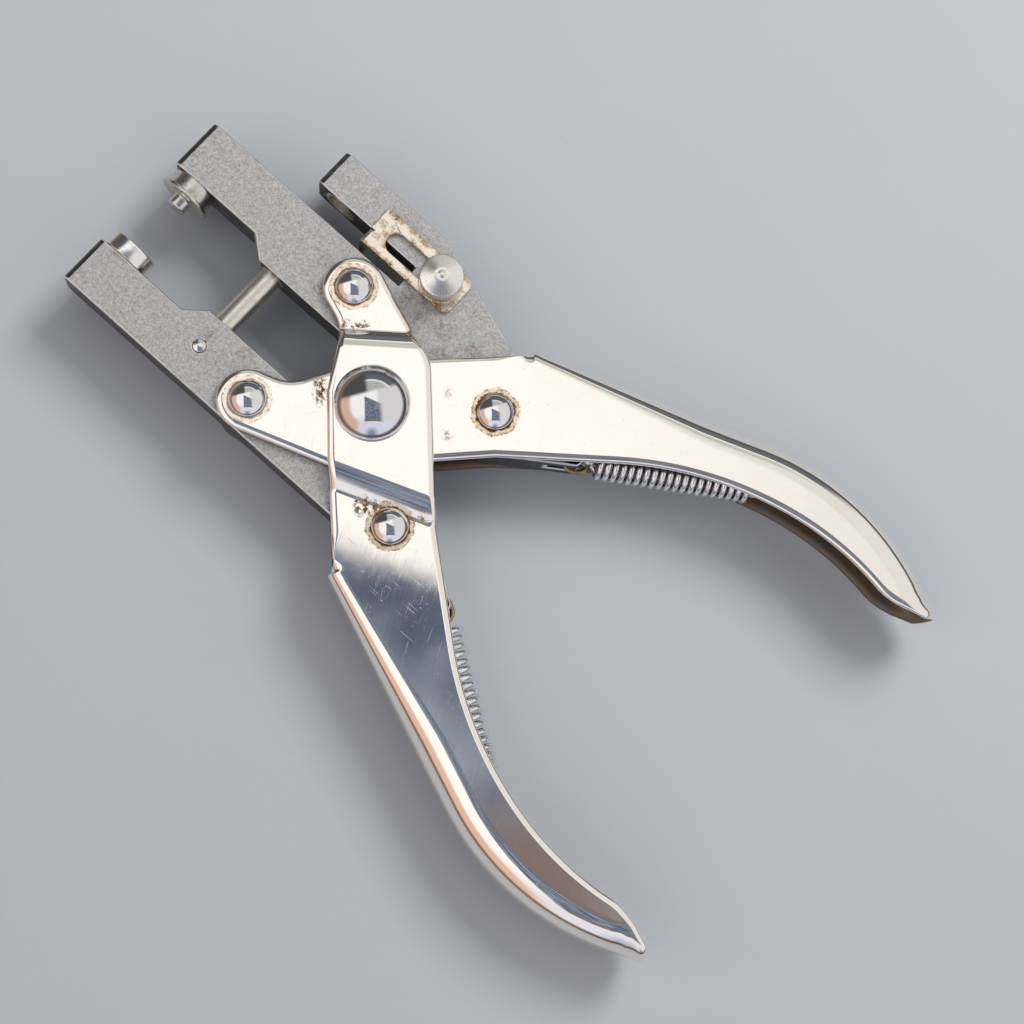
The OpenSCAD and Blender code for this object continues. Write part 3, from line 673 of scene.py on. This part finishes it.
def handleSheet(lifted):
    bm = bmesh.new()
    front = handle["tightRim"]
    first = [bm.verts.new(at) for at in gripRing(front)]
    for pair in zip(first, first[1:]):
        bm.edges.new(pair)
    stations = handle["stations"]
    run = handle["length"] - handle["rim"] - front
    sweepOn(bm, first, [gripRing(front + run * k / stations) for k in range(1, stations + 1)])
    flares = handle["flareRings"]
    sweepOn(bm, first[1:], [flareRing(1 - k / flares) for k in range(1, flares + 1)])
    holes = [circle(x, 0, radius + handle["holeRim"]) for x, radius in handle["bores"]]
    fillPlan(bm, cheekOutline(), holes, linkage["cheekOut"])
    bmesh.ops.remove_doubles(bm, verts=bm.verts, dist=weld)
    if lifted:
        liftCheek(bm)
    bmesh.ops.mirror(bm, geom=whole(bm), matrix=Matrix.Identity(4), merge_dist=closeWeld, axis="Z")
    bmesh.ops.remove_doubles(bm, verts=bm.verts, dist=weld)
    bmesh.ops.recalc_face_normals(bm, faces=bm.faces)
    topFace = max(bm.faces, key=lambda f: f.calc_center_median().z)
    if topFace.normal.z < 0:
        bmesh.ops.reverse_faces(bm, faces=bm.faces)
    thicken(bm)
    return bm


sheets = [
    ("inner_handle", innerPlace, False, "innerPlate"),
    ("outer_handle", outerPlace, True, "outerPlate"),
]
for name, place, lifted, finish in sheets:
    piece = finishPiece(handleSheet(lifted), name + "_sheet", place, finish, more=["inside"])
    show(piece, name, "nickel_plate", name)
print("handles folded")

# Rivets: a short shank between a flat lower head and a dome that stands on a low skirt
rivet = {
    "shank": 2, "head": 3.3, "headHeight": 2.2, "skirt": 0.6, "tail": 2.9, "tailHeight": 0.7, "steps": 96,
}
mainRivet = {
    "shank": 3, "head": 6.8, "headHeight": 4.2, "skirt": 0.85, "tail": 6.4, "tailHeight": 1.5,
    "steps": 96, "edge": (0.08, 2, 50),
}


def rivetBody(size, grip):
    shank, head, tail = size["shank"], size["head"], size["tail"]
    foot = -grip - size["tailHeight"]
    profile = [(0, foot), (tail - 0.35, foot), (tail - 0.1, foot + 0.1), (tail, foot + 0.35), (tail, -grip)]
    profile += [(shank, -grip), (shank, grip), (head - 0.12, grip), (head, grip + 0.12)]
    profile += domeProfile(head, size["headHeight"] - size["skirt"], grip + size["skirt"])
    return lathe(profile, size["steps"])


smallRivets = [
    ("straight_jaw_hinge_rivet", innerPlace, arm, "inner_handle"),
    ("forked_jaw_slide_rivet", innerPlace, -arm, "inner_handle"),
    ("forked_jaw_hinge_rivet", outerPlace, arm, "outer_handle"),
    ("straight_jaw_slide_rivet", outerPlace, -arm, "outer_handle"),
]
for name, place, x, body in smallRivets:
    at = place @ Matrix.Translation((x, 0, 0))
    piece = finishPiece(rivetBody(rivet, linkage["cheekOut"]), name + "_head", at, "rivet", fineEdge)
    show(piece, body, "rivet_nickel", name)
dome = rivetBody(mainRivet, linkage["raisedOut"])
piece = finishPiece(dome, "pivot_dome", pivotPlace, "pivot", mainRivet["edge"])
show(piece, "pivot", "rivet_nickel", "main_pivot_rivet")

# The sleeve between the cheeks, and the pins that the springs, the links and the punch hang on
pins = {
    "sleeve": 4, "sleeveBore": 3.02, "anchor": 1.2, "tail": 0.85, "cross": 1.2, "crossAt": (13.1, 1.6, 0),
}
jawHalf = linkage["jawHalf"]
cheekIn = linkage["cheekIn"]
sleeve = lathe(tube(pins["sleeve"], pins["sleeveBore"], -jawHalf, jawHalf))
show(finishPiece(sleeve, "sleeve", pivotPlace, "pin"), "pivot", "pivot_steel", "pivot_sleeve")
for side, place in (("inner", innerPlace), ("outer", outerPlace)):
    node = side + "_spring_anchor_pin"
    at = place @ Matrix.Translation((*linkage["anchor"], 0))
    pin = lathe(rod(pins["anchor"], -cheekIn, cheekIn))
    show(finishPiece(pin, node + "_body", at, "pin", fineEdge), side + "_handle", "pin_steel", node)
for body, place in (("forked_jaw", forkedPlace), ("straight_jaw", straightPlace)):
    node = body + "_tail_pin"
    at = place @ Matrix.Translation((-2 * hingeX - linkage["tailBack"], -linkage["tailOut"], 0))
    pin = lathe(rod(pins["tail"], -jawHalf, jawHalf))
    show(finishPiece(pin, node + "_body", at, "pin", fineEdge), body, "pin_steel", node)
at = straightPlace @ Matrix.Translation(pins["crossAt"])
crossPin = finishPiece(lathe(rod(pins["cross"], -jawHalf, jawHalf)), "cross_pin", at, "crossPin", fineEdge)
show(crossPin, "straight_jaw", "pin_steel", "punch_cross_pin")
print("rivets and pins turned")

# Dies and punch, turned on axes that cross the jaws
dies = {
    "x": 34.6, "nose": 4.4, "stem": 2.5, "stemLength": 7, "steps": 80,
    "body": 4.4, "bodyHeight": 2.7, "flange": 5.1, "flangeHeight": 0.8, "pilot": 1.85, "pilotLength": 2.3,
    "cup": 4.85, "cupHeight": 3.1, "groove": 3.2, "grooveDepth": 0.8, "bore": 2.1,
}
punch = {
    "x": 13.1, "radius": 2.3, "from": -1.05, "to": 2 * hingeY + 5.5, "edge": 0.25,
    "bush": 3.2, "bushBore": 2.35, "bushFrom": -18.4, "bushTo": -10.6,
}


def settingDie(d):
    stem, body, flange, pilot, low = d["stem"], d["body"], d["flange"], d["pilot"], d["bodyHeight"]
    high = low + d["flangeHeight"]
    tip = high + d["pilotLength"]
    return [
        (0, -d["stemLength"]), (stem, -d["stemLength"]), (stem, 0), (body - 0.15, 0), (body, 0.15),
        (body, low), (flange - 0.12, low), (flange, low + 0.12), (flange, high - 0.15), (flange - 0.2, high),
        (pilot + 0.25, high), (pilot + 0.05, high + 0.1), (pilot, high + 0.3),
        (pilot, tip - 0.5), (pilot - 0.15, tip - 0.2), (pilot - 0.5, tip), (0, tip)]


def cupDie(d):
    stem, cup, groove, bore, high = d["stem"], d["cup"], d["groove"], d["bore"], d["cupHeight"]
    low = high - d["grooveDepth"]
    return [
        (bore, -d["stemLength"]), (stem, -d["stemLength"]), (stem, 0), (cup - 0.15, 0), (cup, 0.15),
        (cup, high - 0.25), (cup - 0.25, high), (groove + 0.15, high), (groove, high - 0.15),
        (groove, low + 0.2), (groove - 0.2, low), (bore + 0.1, low), (bore, low - 0.1),
        (bore, -d["stemLength"])]


punchRod = rod(punch["radius"], punch["from"], punch["to"], punch["edge"])
dieBush = tube(punch["bush"], punch["bushBore"], punch["bushFrom"], punch["bushTo"])
dieAt = (dies["x"], dies["nose"], 0)
punchAt = (punch["x"], 0, 0)
turnedParts = [
    ("setting_die", settingDie(dies), forkedPlace, dieAt, "forked_jaw", "dullDie", "die_steel"),
    ("cup_die", cupDie(dies), straightPlace, dieAt, "straight_jaw", "die", "die_steel"),
    ("punch_rod", punchRod, straightPlace, punchAt, "straight_jaw", "rod", "punch_steel"),
    ("punch_die_bush", dieBush, forkedPlace, punchAt, "forked_jaw", "rod", "punch_steel"),
]
for name, profile, place, shift, body, finish, slotName in turnedParts:
    at = place @ Matrix.Translation(shift) @ acrossJaw
    piece = finishPiece(lathe(profile, dies["steps"]), name + "_turned", at, finish, fineEdge)
    show(piece, body, slotName, name)
print("dies and punch turned")

# Jaws: merged copies of the solids with rounded edges, enamelled on top, with painted shade (a near-black
# finish) on all other faces
jaws = {"edge": (0.32, 3, 38), "weld": 2e-6, "flatWithin": 0.6, "topFrom": 0.995}
for name, finish in (("forked_jaw", "forkedEnamel"), ("straight_jaw", "straightEnamel")):
    bm = bmesh.new()
    bm.from_mesh(cad[name].data)
    bmesh.ops.remove_doubles(bm, verts=bm.verts, dist=jaws["weld"])
    bmesh.ops.dissolve_limit(bm, angle_limit=radians(jaws["flatWithin"]), verts=bm.verts, edges=bm.edges)
    for face in bm.faces:
        # Faces that don't face straight up get the near-black painted shade finish
        face.material_index = int(face.normal.z < jaws["topFrom"])
    others = ["jawPaintedShade", "wornEdge"]
    piece = finishPiece(bm, name + "_bar", Matrix.Identity(4), finish, jaws["edge"], more=others)
    show(piece, name, "hammertone", name)
print("jaws rounded")

# Gauge: a slotted plate with a lip bent down at its front, a washer and a knurled screw
gauge = {
    "front": 5.4, "length": 20.9, "side": 4, "y": -11.35, "thick": 0.9, "top": 4.85, "corner": 1.5,
    "slot": 2, "slotFront": -0.2, "slotBack": -11.2, "slotY": -11.2, "paleAt": (-5.2, -11.2),
    "lipFrom": -10.3, "lipTo": -7.35, "lipBottom": -3.35, "relief": 0.2, "bendSteps": 6,
    "edge": (0.2, 3, 40),
}
washer = {"radius": 4, "bore": 1.8, "from": 4.9, "to": 5.6, "edge": 0.15}
screw = {
    "at": (-10.8, -11.2, 0), "shank": 1.75, "foot": -3.9, "flange": 3.3, "flangeFrom": 5.65, "flangeTo": 6.45,
    "neck": 2.6, "head": 4, "headFrom": 7.45, "rimTo": 9.85, "teeth": 44, "toothDepth": 0.14,
    "cone": [
        (3.1, 10), (2.4, 10.19), (1.6, 10.42), (0.85, 10.62),
        (0.75, 10.58), (0.65, 10.64), (0.4, 10.72), (0, 10.75)],
    "edge": (0.06, 2, 40),
}


def gaugeSheet(g):
    bm = bmesh.new()
    r, corner, front, top = g["thick"], g["corner"], g["front"], g["top"]
    back = front - g["length"] + corner
    high, low = g["y"] + g["side"], g["y"] - g["side"]
    bend = front - r
    notch = g["lipFrom"] - g["relief"]
    outline = [(front, low), (front, notch), (bend, notch), (bend, g["lipFrom"]), (bend, g["lipTo"])]
    outline += arcPoints(back, high - corner, corner, 90, 180, 10)
    outline += arcPoints(back, low + corner, corner, 180, 270, 10)
    slot = arcPoints(g["slotFront"], g["slotY"], g["slot"], -90, 90, 24)
    slot += arcPoints(g["slotBack"], g["slotY"], g["slot"], 90, 270, 24)
    fillPlan(bm, outline, [slot], top)
    ends = [v for v in bm.verts if abs(v.co.x - bend) < closeWeld and v.co.y >= g["lipFrom"] - closeWeld]
    turns = [pi / 2 * k / g["bendSteps"] for k in range(1, g["bendSteps"] + 1)]
    rings = [[Vector((bend + r * sin(a), v.co.y, top - r + r * cos(a))) for v in ends] for a in turns]
    rings.append([Vector((front, v.co.y, g["lipBottom"])) for v in ends])
    sweepOn(bm, ends, rings)
    bmesh.ops.recalc_face_normals(bm, faces=bm.faces)
    if max(bm.faces, key=lambda f: f.calc_area()).normal.z < 0:
        bmesh.ops.reverse_faces(bm, faces=bm.faces)
    return bm


def knurledScrew(s):
    shank, flange, neck, head = s["shank"], s["flange"], s["neck"], s["head"]
    foot, low, high, under, rim = s["foot"], s["flangeFrom"], s["flangeTo"], s["headFrom"], s["rimTo"]
    profile = [(0, foot), (shank - 0.3, foot), (shank, foot + 0.3), (shank, low)]
    profile += [(flange - 0.1, low), (flange, low + 0.1), (flange, high - 0.1), (flange - 0.1, high)]
    profile += [(neck + 0.1, high), (neck, high + 0.15), (neck, under - 0.15), (neck + 0.15, under)]
    profile += [(head - 0.3, under), (head, under + 0.25), (head, rim - 0.25), (head - 0.12, rim - 0.07)]
    bm = lathe(profile + [(head - 0.3, rim)] + s["cone"], 2 * s["teeth"])
    for vert in bm.verts:
        tooth = round(atan2(vert.co.y, vert.co.x) / pi * s["teeth"])
        if hypot(vert.co.x, vert.co.y) > head - 0.05 and tooth % 2:
            vert.co.x *= 1 - s["toothDepth"] / head
            vert.co.y *= 1 - s["toothDepth"] / head
    return bm


# Thin nickel with gold and rust, most at its edges and round the slot
def gaugeFinish(name):
    made, place = newFinish(name)
    patches = place.noise(0.42, 6, 0.7)
    speck = place.noise(2.5, 5, 0.75)
    pale = objectPoint(forkedPlace, *gauge["paleAt"])
    fromSlot = place.vector("SUBTRACT", pale).vector("MULTIPLY", (0.12, 1, 0)).distance((0, 0, 0))
    edge = fromSlot.step(2.7, 3.9) + fromSlot.step(2.5, 2.1) * 0.6
    gold = (patches + edge * 0.2 + (speck - 0.5) * 0.3).step(0.57, 0.76)
    rust = (patches + edge * 0.13 + (speck - 0.5) * 0.8).step(0.70, 0.78)
    tint = gold.mix((0.88, 0.80, 0.69), (0.58, 0.39, 0.18))
    tint = rust.mix(tint, (0.10, 0.045, 0.015))
    rough = gold * 0.15 + rust * 0.4 + (speck - 0.5) * 0.15 + 0.22
    height = speck * (gold + rust) + patches * 0.5
    return dress(made, place, tint, rough, 1 - rust * 0.8 - gold * 0.15, (height, 0.4, 0.05))


# Turned steel with streaks that fan out from the screw's axis, stained below its head
def screwFinish(name):
    made, place = newFinish(name)
    centred = place.vector("SUBTRACT", objectPoint(forkedPlace, *screw["at"]))
    streaks = centred.math("ARCTAN2", centred.axis(1), centred.axis(0)).noiseAlong(14, 4, 0.65)
    stain = centred.axis(2).step(7.8, 6.2) * place.noise(1.2, 4).step(0.35, 0.6)
    tint = streaks.step(0.3, 0.7).mix((1.0, 0.96, 0.91), (0.92, 0.86, 0.79))
    tint = stain.mix(tint, (0.50, 0.32, 0.10))
    return dress(made, place, tint, (streaks - 0.5) * 0.2 + 0.27, 1, (streaks, 0.3, 0.02))


finishes["gauge"] = gaugeFinish("gauge nickel")
finishes["screw"] = screwFinish("screw steel")
piece = finishPiece(gaugeSheet(gauge), "gauge_sheet", forkedPlace, "gauge", gauge["edge"], gauge["thick"])
show(piece, "depth_gauge", "gauge_nickel", "gauge_plate")
at = forkedPlace @ Matrix.Translation(screw["at"])
ring = lathe(tube(washer["radius"], washer["bore"], washer["from"], washer["to"], washer["edge"]))
show(finishPiece(ring, "washer", at, "gauge", fineEdge), "thumb_screw", "gauge_nickel", "gauge_washer")
piece = finishPiece(knurledScrew(screw), "knurled_screw", at, "screw", screw["edge"])
show(piece, "thumb_screw", "screw_steel", "thumb_screw")
print("gauge fitted")

# Return springs and the brown wire rings that join them to the jaws' tail pins. A spring is drawn along +X
# from its anchor pin: the end loop, the coil and the hook that holds the ring
coil = {
    "wire": 1.05, "radius": 2.47, "pitch": 1.42, "turns": 19.75, "turnSteps": 24, "coilBack": 1.75,
    "loop": 1.75, "loopFrom": 60, "loopTo": 300, "loopSteps": 30, "stub": 0.9,
    "hook": 1.05, "hookFrom": -90, "hookTo": 130, "hookStep": 8, "hookBack": 0.1,
    "leave": 2.5, "intoCoil": (0.3, 1.6, 0), "outOfCoil": (0.3, 0.4, -2), "intoHook": (1.5, 0, 0),
    "bridgeSteps": 12,
}
link = {"wire": 0.9, "radius": 1.9, "run": 0.8, "shift": (-0.2, 0.2), "step": 9}
anchor = Vector(linkage["anchor"])
tail = Vector((-arm, 0)) + Matrix.Rotation(openAngle, 2) @ Vector((-linkage["tailBack"], linkage["tailOut"]))
linkAngle = atan2(tail.y - anchor.y, tail.x - anchor.x)
linkRear = Vector((link["shift"][0] - link["run"] - link["radius"], link["shift"][1]))
hook = tail + Matrix.Rotation(linkAngle, 2) @ linkRear
springAngle = atan2(hook.y - anchor.y, hook.x - anchor.x)


# Points between the ends of a curve from start to stop, which its two handles bend
def bridge(start, startHandle, stopHandle, stop, steps):
    shares = [k / steps for k in range(1, steps)]
    nearStart = [start * (1 - t) ** 3 + 3 * startHandle * t * (1 - t) ** 2 for t in shares]
    nearStop = [3 * stopHandle * t * t * (1 - t) + stop * t ** 3 for t in shares]
    return [a + b for a, b in zip(nearStart, nearStop)]


def loopPoint(radius, angle):
    return Vector((radius * cos(radians(angle)), radius * sin(radians(angle)), 0))


# The point of the spring's hook, which stands upright, at an angle round its centre
def hookPoint(radius, angle):
    return Vector((radius * cos(radians(angle)), 0, radius * sin(radians(angle))))


def springLine(c):
    length = (hook - anchor).length
    coilEnd = length - c["coilBack"]
    coilStart = coilEnd - c["turns"] * c["pitch"]
    centre = Vector((length - c["hookBack"], 0, 0))
    leave = loopPoint(c["loop"], c["loopTo"])
    first = Vector((coilStart, 0, -c["radius"]))
    last = Vector((coilEnd, -c["radius"], 0))
    foot = centre + hookPoint(c["hook"], c["hookFrom"])
    opened = (c["loopTo"] - c["loopFrom"]) / c["loopSteps"]
    line = [loopPoint(c["loop"], c["loopFrom"]) - loopPoint(c["stub"], c["loopFrom"] + 90)]
    line += [loopPoint(c["loop"], c["loopFrom"] + opened * k) for k in range(c["loopSteps"] + 1)]
    leaveHandle = leave + loopPoint(c["leave"], c["loopTo"] + 90)
    line += bridge(leave, leaveHandle, first - Vector(c["intoCoil"]), first, c["bridgeSteps"])
    for k in range(int(c["turns"] * c["turnSteps"]) + 1):
        turn = 2 * pi * k / c["turnSteps"] - pi / 2
        x = coilStart + c["pitch"] * k / c["turnSteps"]
        line.append(Vector((x, c["radius"] * cos(turn), c["radius"] * sin(turn))))
    lastHandle = last + Vector(c["outOfCoil"])
    line += bridge(last, lastHandle, foot - Vector(c["intoHook"]), foot, c["bridgeSteps"])
    line += [centre + hookPoint(c["hook"], a) for a in range(c["hookFrom"], c["hookTo"] + 1, c["hookStep"])]
    return line + [line[-1] + hookPoint(c["stub"], c["hookTo"] + 90)]


def linkLine(c):
    front = [loopPoint(c["radius"], a) for a in range(-90, 91, c["step"])]
    rear = [loopPoint(c["radius"], a) - Vector((c["run"], 0, 0)) for a in range(90, 271, c["step"])]
    return front + rear


# A round wire along a line of points
def wirePiece(name, line, thick, closed, place, finish):
    curve = bpy.data.curves.new(name, "CURVE")
    curve.dimensions = "3D"
    strand = curve.splines.new("POLY")
    strand.points.add(len(line) - 1)
    for point, at in zip(strand.points, line):
        point.co = (*at, 1)
    strand.use_cyclic_u = closed
    curve.bevel_depth = thick / 2
    curve.bevel_resolution = 3
    curve.use_fill_caps = not closed
    holder = bpy.data.objects.new(name + "_line", curve)
    scene.collection.objects.link(holder)
    bm = bmesh.new()
    bm.from_mesh(holder.to_mesh())
    bpy.data.objects.remove(holder)
    bmesh.ops.remove_doubles(bm, verts=bm.verts, dist=closeWeld)
    bmesh.ops.recalc_face_normals(bm, faces=bm.faces)
    return finishPiece(bm, name, place, finish)


for side, place in (("inner", innerPlace), ("outer", outerPlace)):
    body = side + "_spring_link"
    anchorAt = Vector((*anchor, 0))
    hookAt = Vector((*hook, 0))
    at = place @ Matrix.Translation(anchorAt) @ Matrix.Rotation(springAngle, 4, "Z")
    spring = wirePiece(side + "_spring_wire", springLine(coil), coil["wire"], False, at, "spring")
    place @ anchorAt
    place @ hookAt
    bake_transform(spring)
    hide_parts(side + "_return_spring")
    shift = Matrix.Translation((*link["shift"], 0))
    at = place @ Matrix.Translation((*tail, 0)) @ Matrix.Rotation(linkAngle, 4, "Z") @ shift
    piece = wirePiece(side + "_link_ring", linkLine(link), link["wire"], True, at, "link")
    show(piece, body, "link_wire", body)
print("springs wound")

# Floor: a plain pale blue-grey sheet with faint marks
floorLook = {"colour": (0.475, 0.502, 0.537), "mark": (0.60, 0.62, 0.64), "size": 1.6}


def floorFinish(name):
    made, place = newFinish(name)
    broad = place.noise(0.012, 3)
    fibre = place.turned(-48, (0.05, 1.2, 1)).noise(1, 4, 0.6)
    marks = scratches(place, (20, 95), 1.5)
    specks = place.noise(0.7, 2).step(0.74, 0.78)
    tone = (broad - 0.5) * 0.8 + (fibre - 0.5) * 0.25 + 0.4
    tint = tone.mix(scaled(floorLook["colour"], 0.97), scaled(floorLook["colour"], 1.03))
    tint = (marks * 0.12 + specks * 0.15).mix(tint, floorLook["mark"])
    return dress(made, place, tint, 0.55, 0, (fibre, 0.05, 0.02))


bm = bmesh.new()
bmesh.ops.create_grid(bm, x_segments=1, y_segments=1, size=floorLook["size"])
finishes["floor"] = floorFinish("desk top")
finishPiece(bm, "floor", Matrix.Identity(4), "floor")

# Light: a bright soft sky with a grey end, a dark end, a blue-grey panel that the flat grips mirror and a
# dim horizon, and one lamp. Right and down are those of the picture
sky = {
    "right": (-0.722, -0.692, 0), "down": (-0.691, 0.723, 0),
    "bright": (1.08, 1.06, 1.05), "far": (0.80, 0.78, 0.77), "lavender": (0.80, 0.81, 0.92),
    "warm": (0.78, 0.52, 0.42), "navy": (0.24, 0.29, 0.42), "low": (0.10, 0.095, 0.09),
    "brown": (0.24, 0.15, 0.10),
    "grey": (0.42, 0.44, 0.40), "moss": (0.66, 0.68, 0.62), "strip": (0.88, 0.89, 0.86),
    "slate": (0.13, 0.15, 0.17), "dark": (0.09, 0.085, 0.085),
    "panel": (0.08, 0.105, 0.17), "cloud": (0.31, 0.36, 0.45), "mauve": (0.23, 0.175, 0.165),
    "dusk": (0.30, 0.28, 0.29), "fill": 0.92,
}
lamp = {"place": (-0.05, -0.62, 0.62), "size": 0.34, "power": 5.1}


def buildSky(s):
    world = bpy.data.worlds.new("studio")
    scene.world = world
    world.use_nodes = True
    way = Wire(world.node_tree).add("TexCoord", out="Generated")
    ripple = way.noise(14, 3) - 0.5
    right = way.vector("DOT_PRODUCT", s["right"], 1) + ripple * 0.05
    down = way.vector("DOT_PRODUCT", s["down"], 1) + ripple * 0.04
    up = way.vector("DOT_PRODUCT", (0, 0, 1), 1)
    blot = way.noise(19, 4, 0.6).step(0.38, 0.66)
    # The open sky, cooler at the bottom and warm low on the left
    colour = right.step(0.1, 0.34).mix(s["bright"], s["far"])
    colour = down.step(0.35, 0.75).mix(colour, s["lavender"])
    colour = (right.step(-0.42, -0.6) * up.step(0.66, 0.5)).mix(colour, s["warm"])
    # The grey end at the top, which is slate low down and dark on the left
    grey = up.step(0.56, 0.53).mix(blot.mix(s["grey"], s["moss"]), s["strip"])
    grey = up.step(0.48, 0.45).mix(grey, s["slate"])
    grey = right.step(-0.08, -0.26).mix(grey, s["dark"])
    colour = (down * -1 - right * 0.23).step(0.42, 0.58).mix(colour, grey)
    # Navy at the bottom, and the dim horizon all round
    colour = (down.step(0.8, 0.97) * right.step(-0.35, -0.05) * right.step(0.3, 0.0)).mix(colour, s["navy"])
    colour = up.step(0.26, 0.1).mix(colour, right.step(-0.1, -0.5).mix(s["low"], s["brown"]))
    # The panel, with a brown edge below it and a lighter patch in it
    across = right.step(-0.33, -0.27) * right.step(0.48, 0.26)
    colour = (across * down.step(0.58, 0.62) * down.step(0.70, 0.66)).mix(colour, s["brown"])
    panel = (down * 0.905 - right * 0.426).step(-0.146, -0.140) * across * down.step(0.65, 0.60)
    patch = down.step(-0.05, 0.0) * down.step(0.25, 0.15) * right.step(0.0, 0.05)
    shade = blot.mix(s["panel"], s["cloud"])
    shade = patch.mix(shade, right.step(0.1, 0.16).mix(s["mauve"], s["dusk"]))
    background = world.node_tree.nodes["Background"].inputs
    way.feed(background["Color"], panel.mix(colour, shade))
    # Mirrors see the sky at its full strength, and everything else gets the fill
    way.feed(background["Strength"], way.add("LightPath", out="Is Glossy Ray") * (1 - s["fill"]) + s["fill"])


buildSky(sky)
softbox = bpy.data.objects.new("softbox", bpy.data.lights.new("softbox", "AREA"))
scene.collection.objects.link(softbox)
softbox.data.size = lamp["size"]
softbox.data.energy = lamp["power"]
softbox.location = lamp["place"]
softbox.rotation_euler = (-Vector(lamp["place"])).to_track_quat("-Z", "Y").to_euler()
softbox.visible_glossy = False
print("light set")
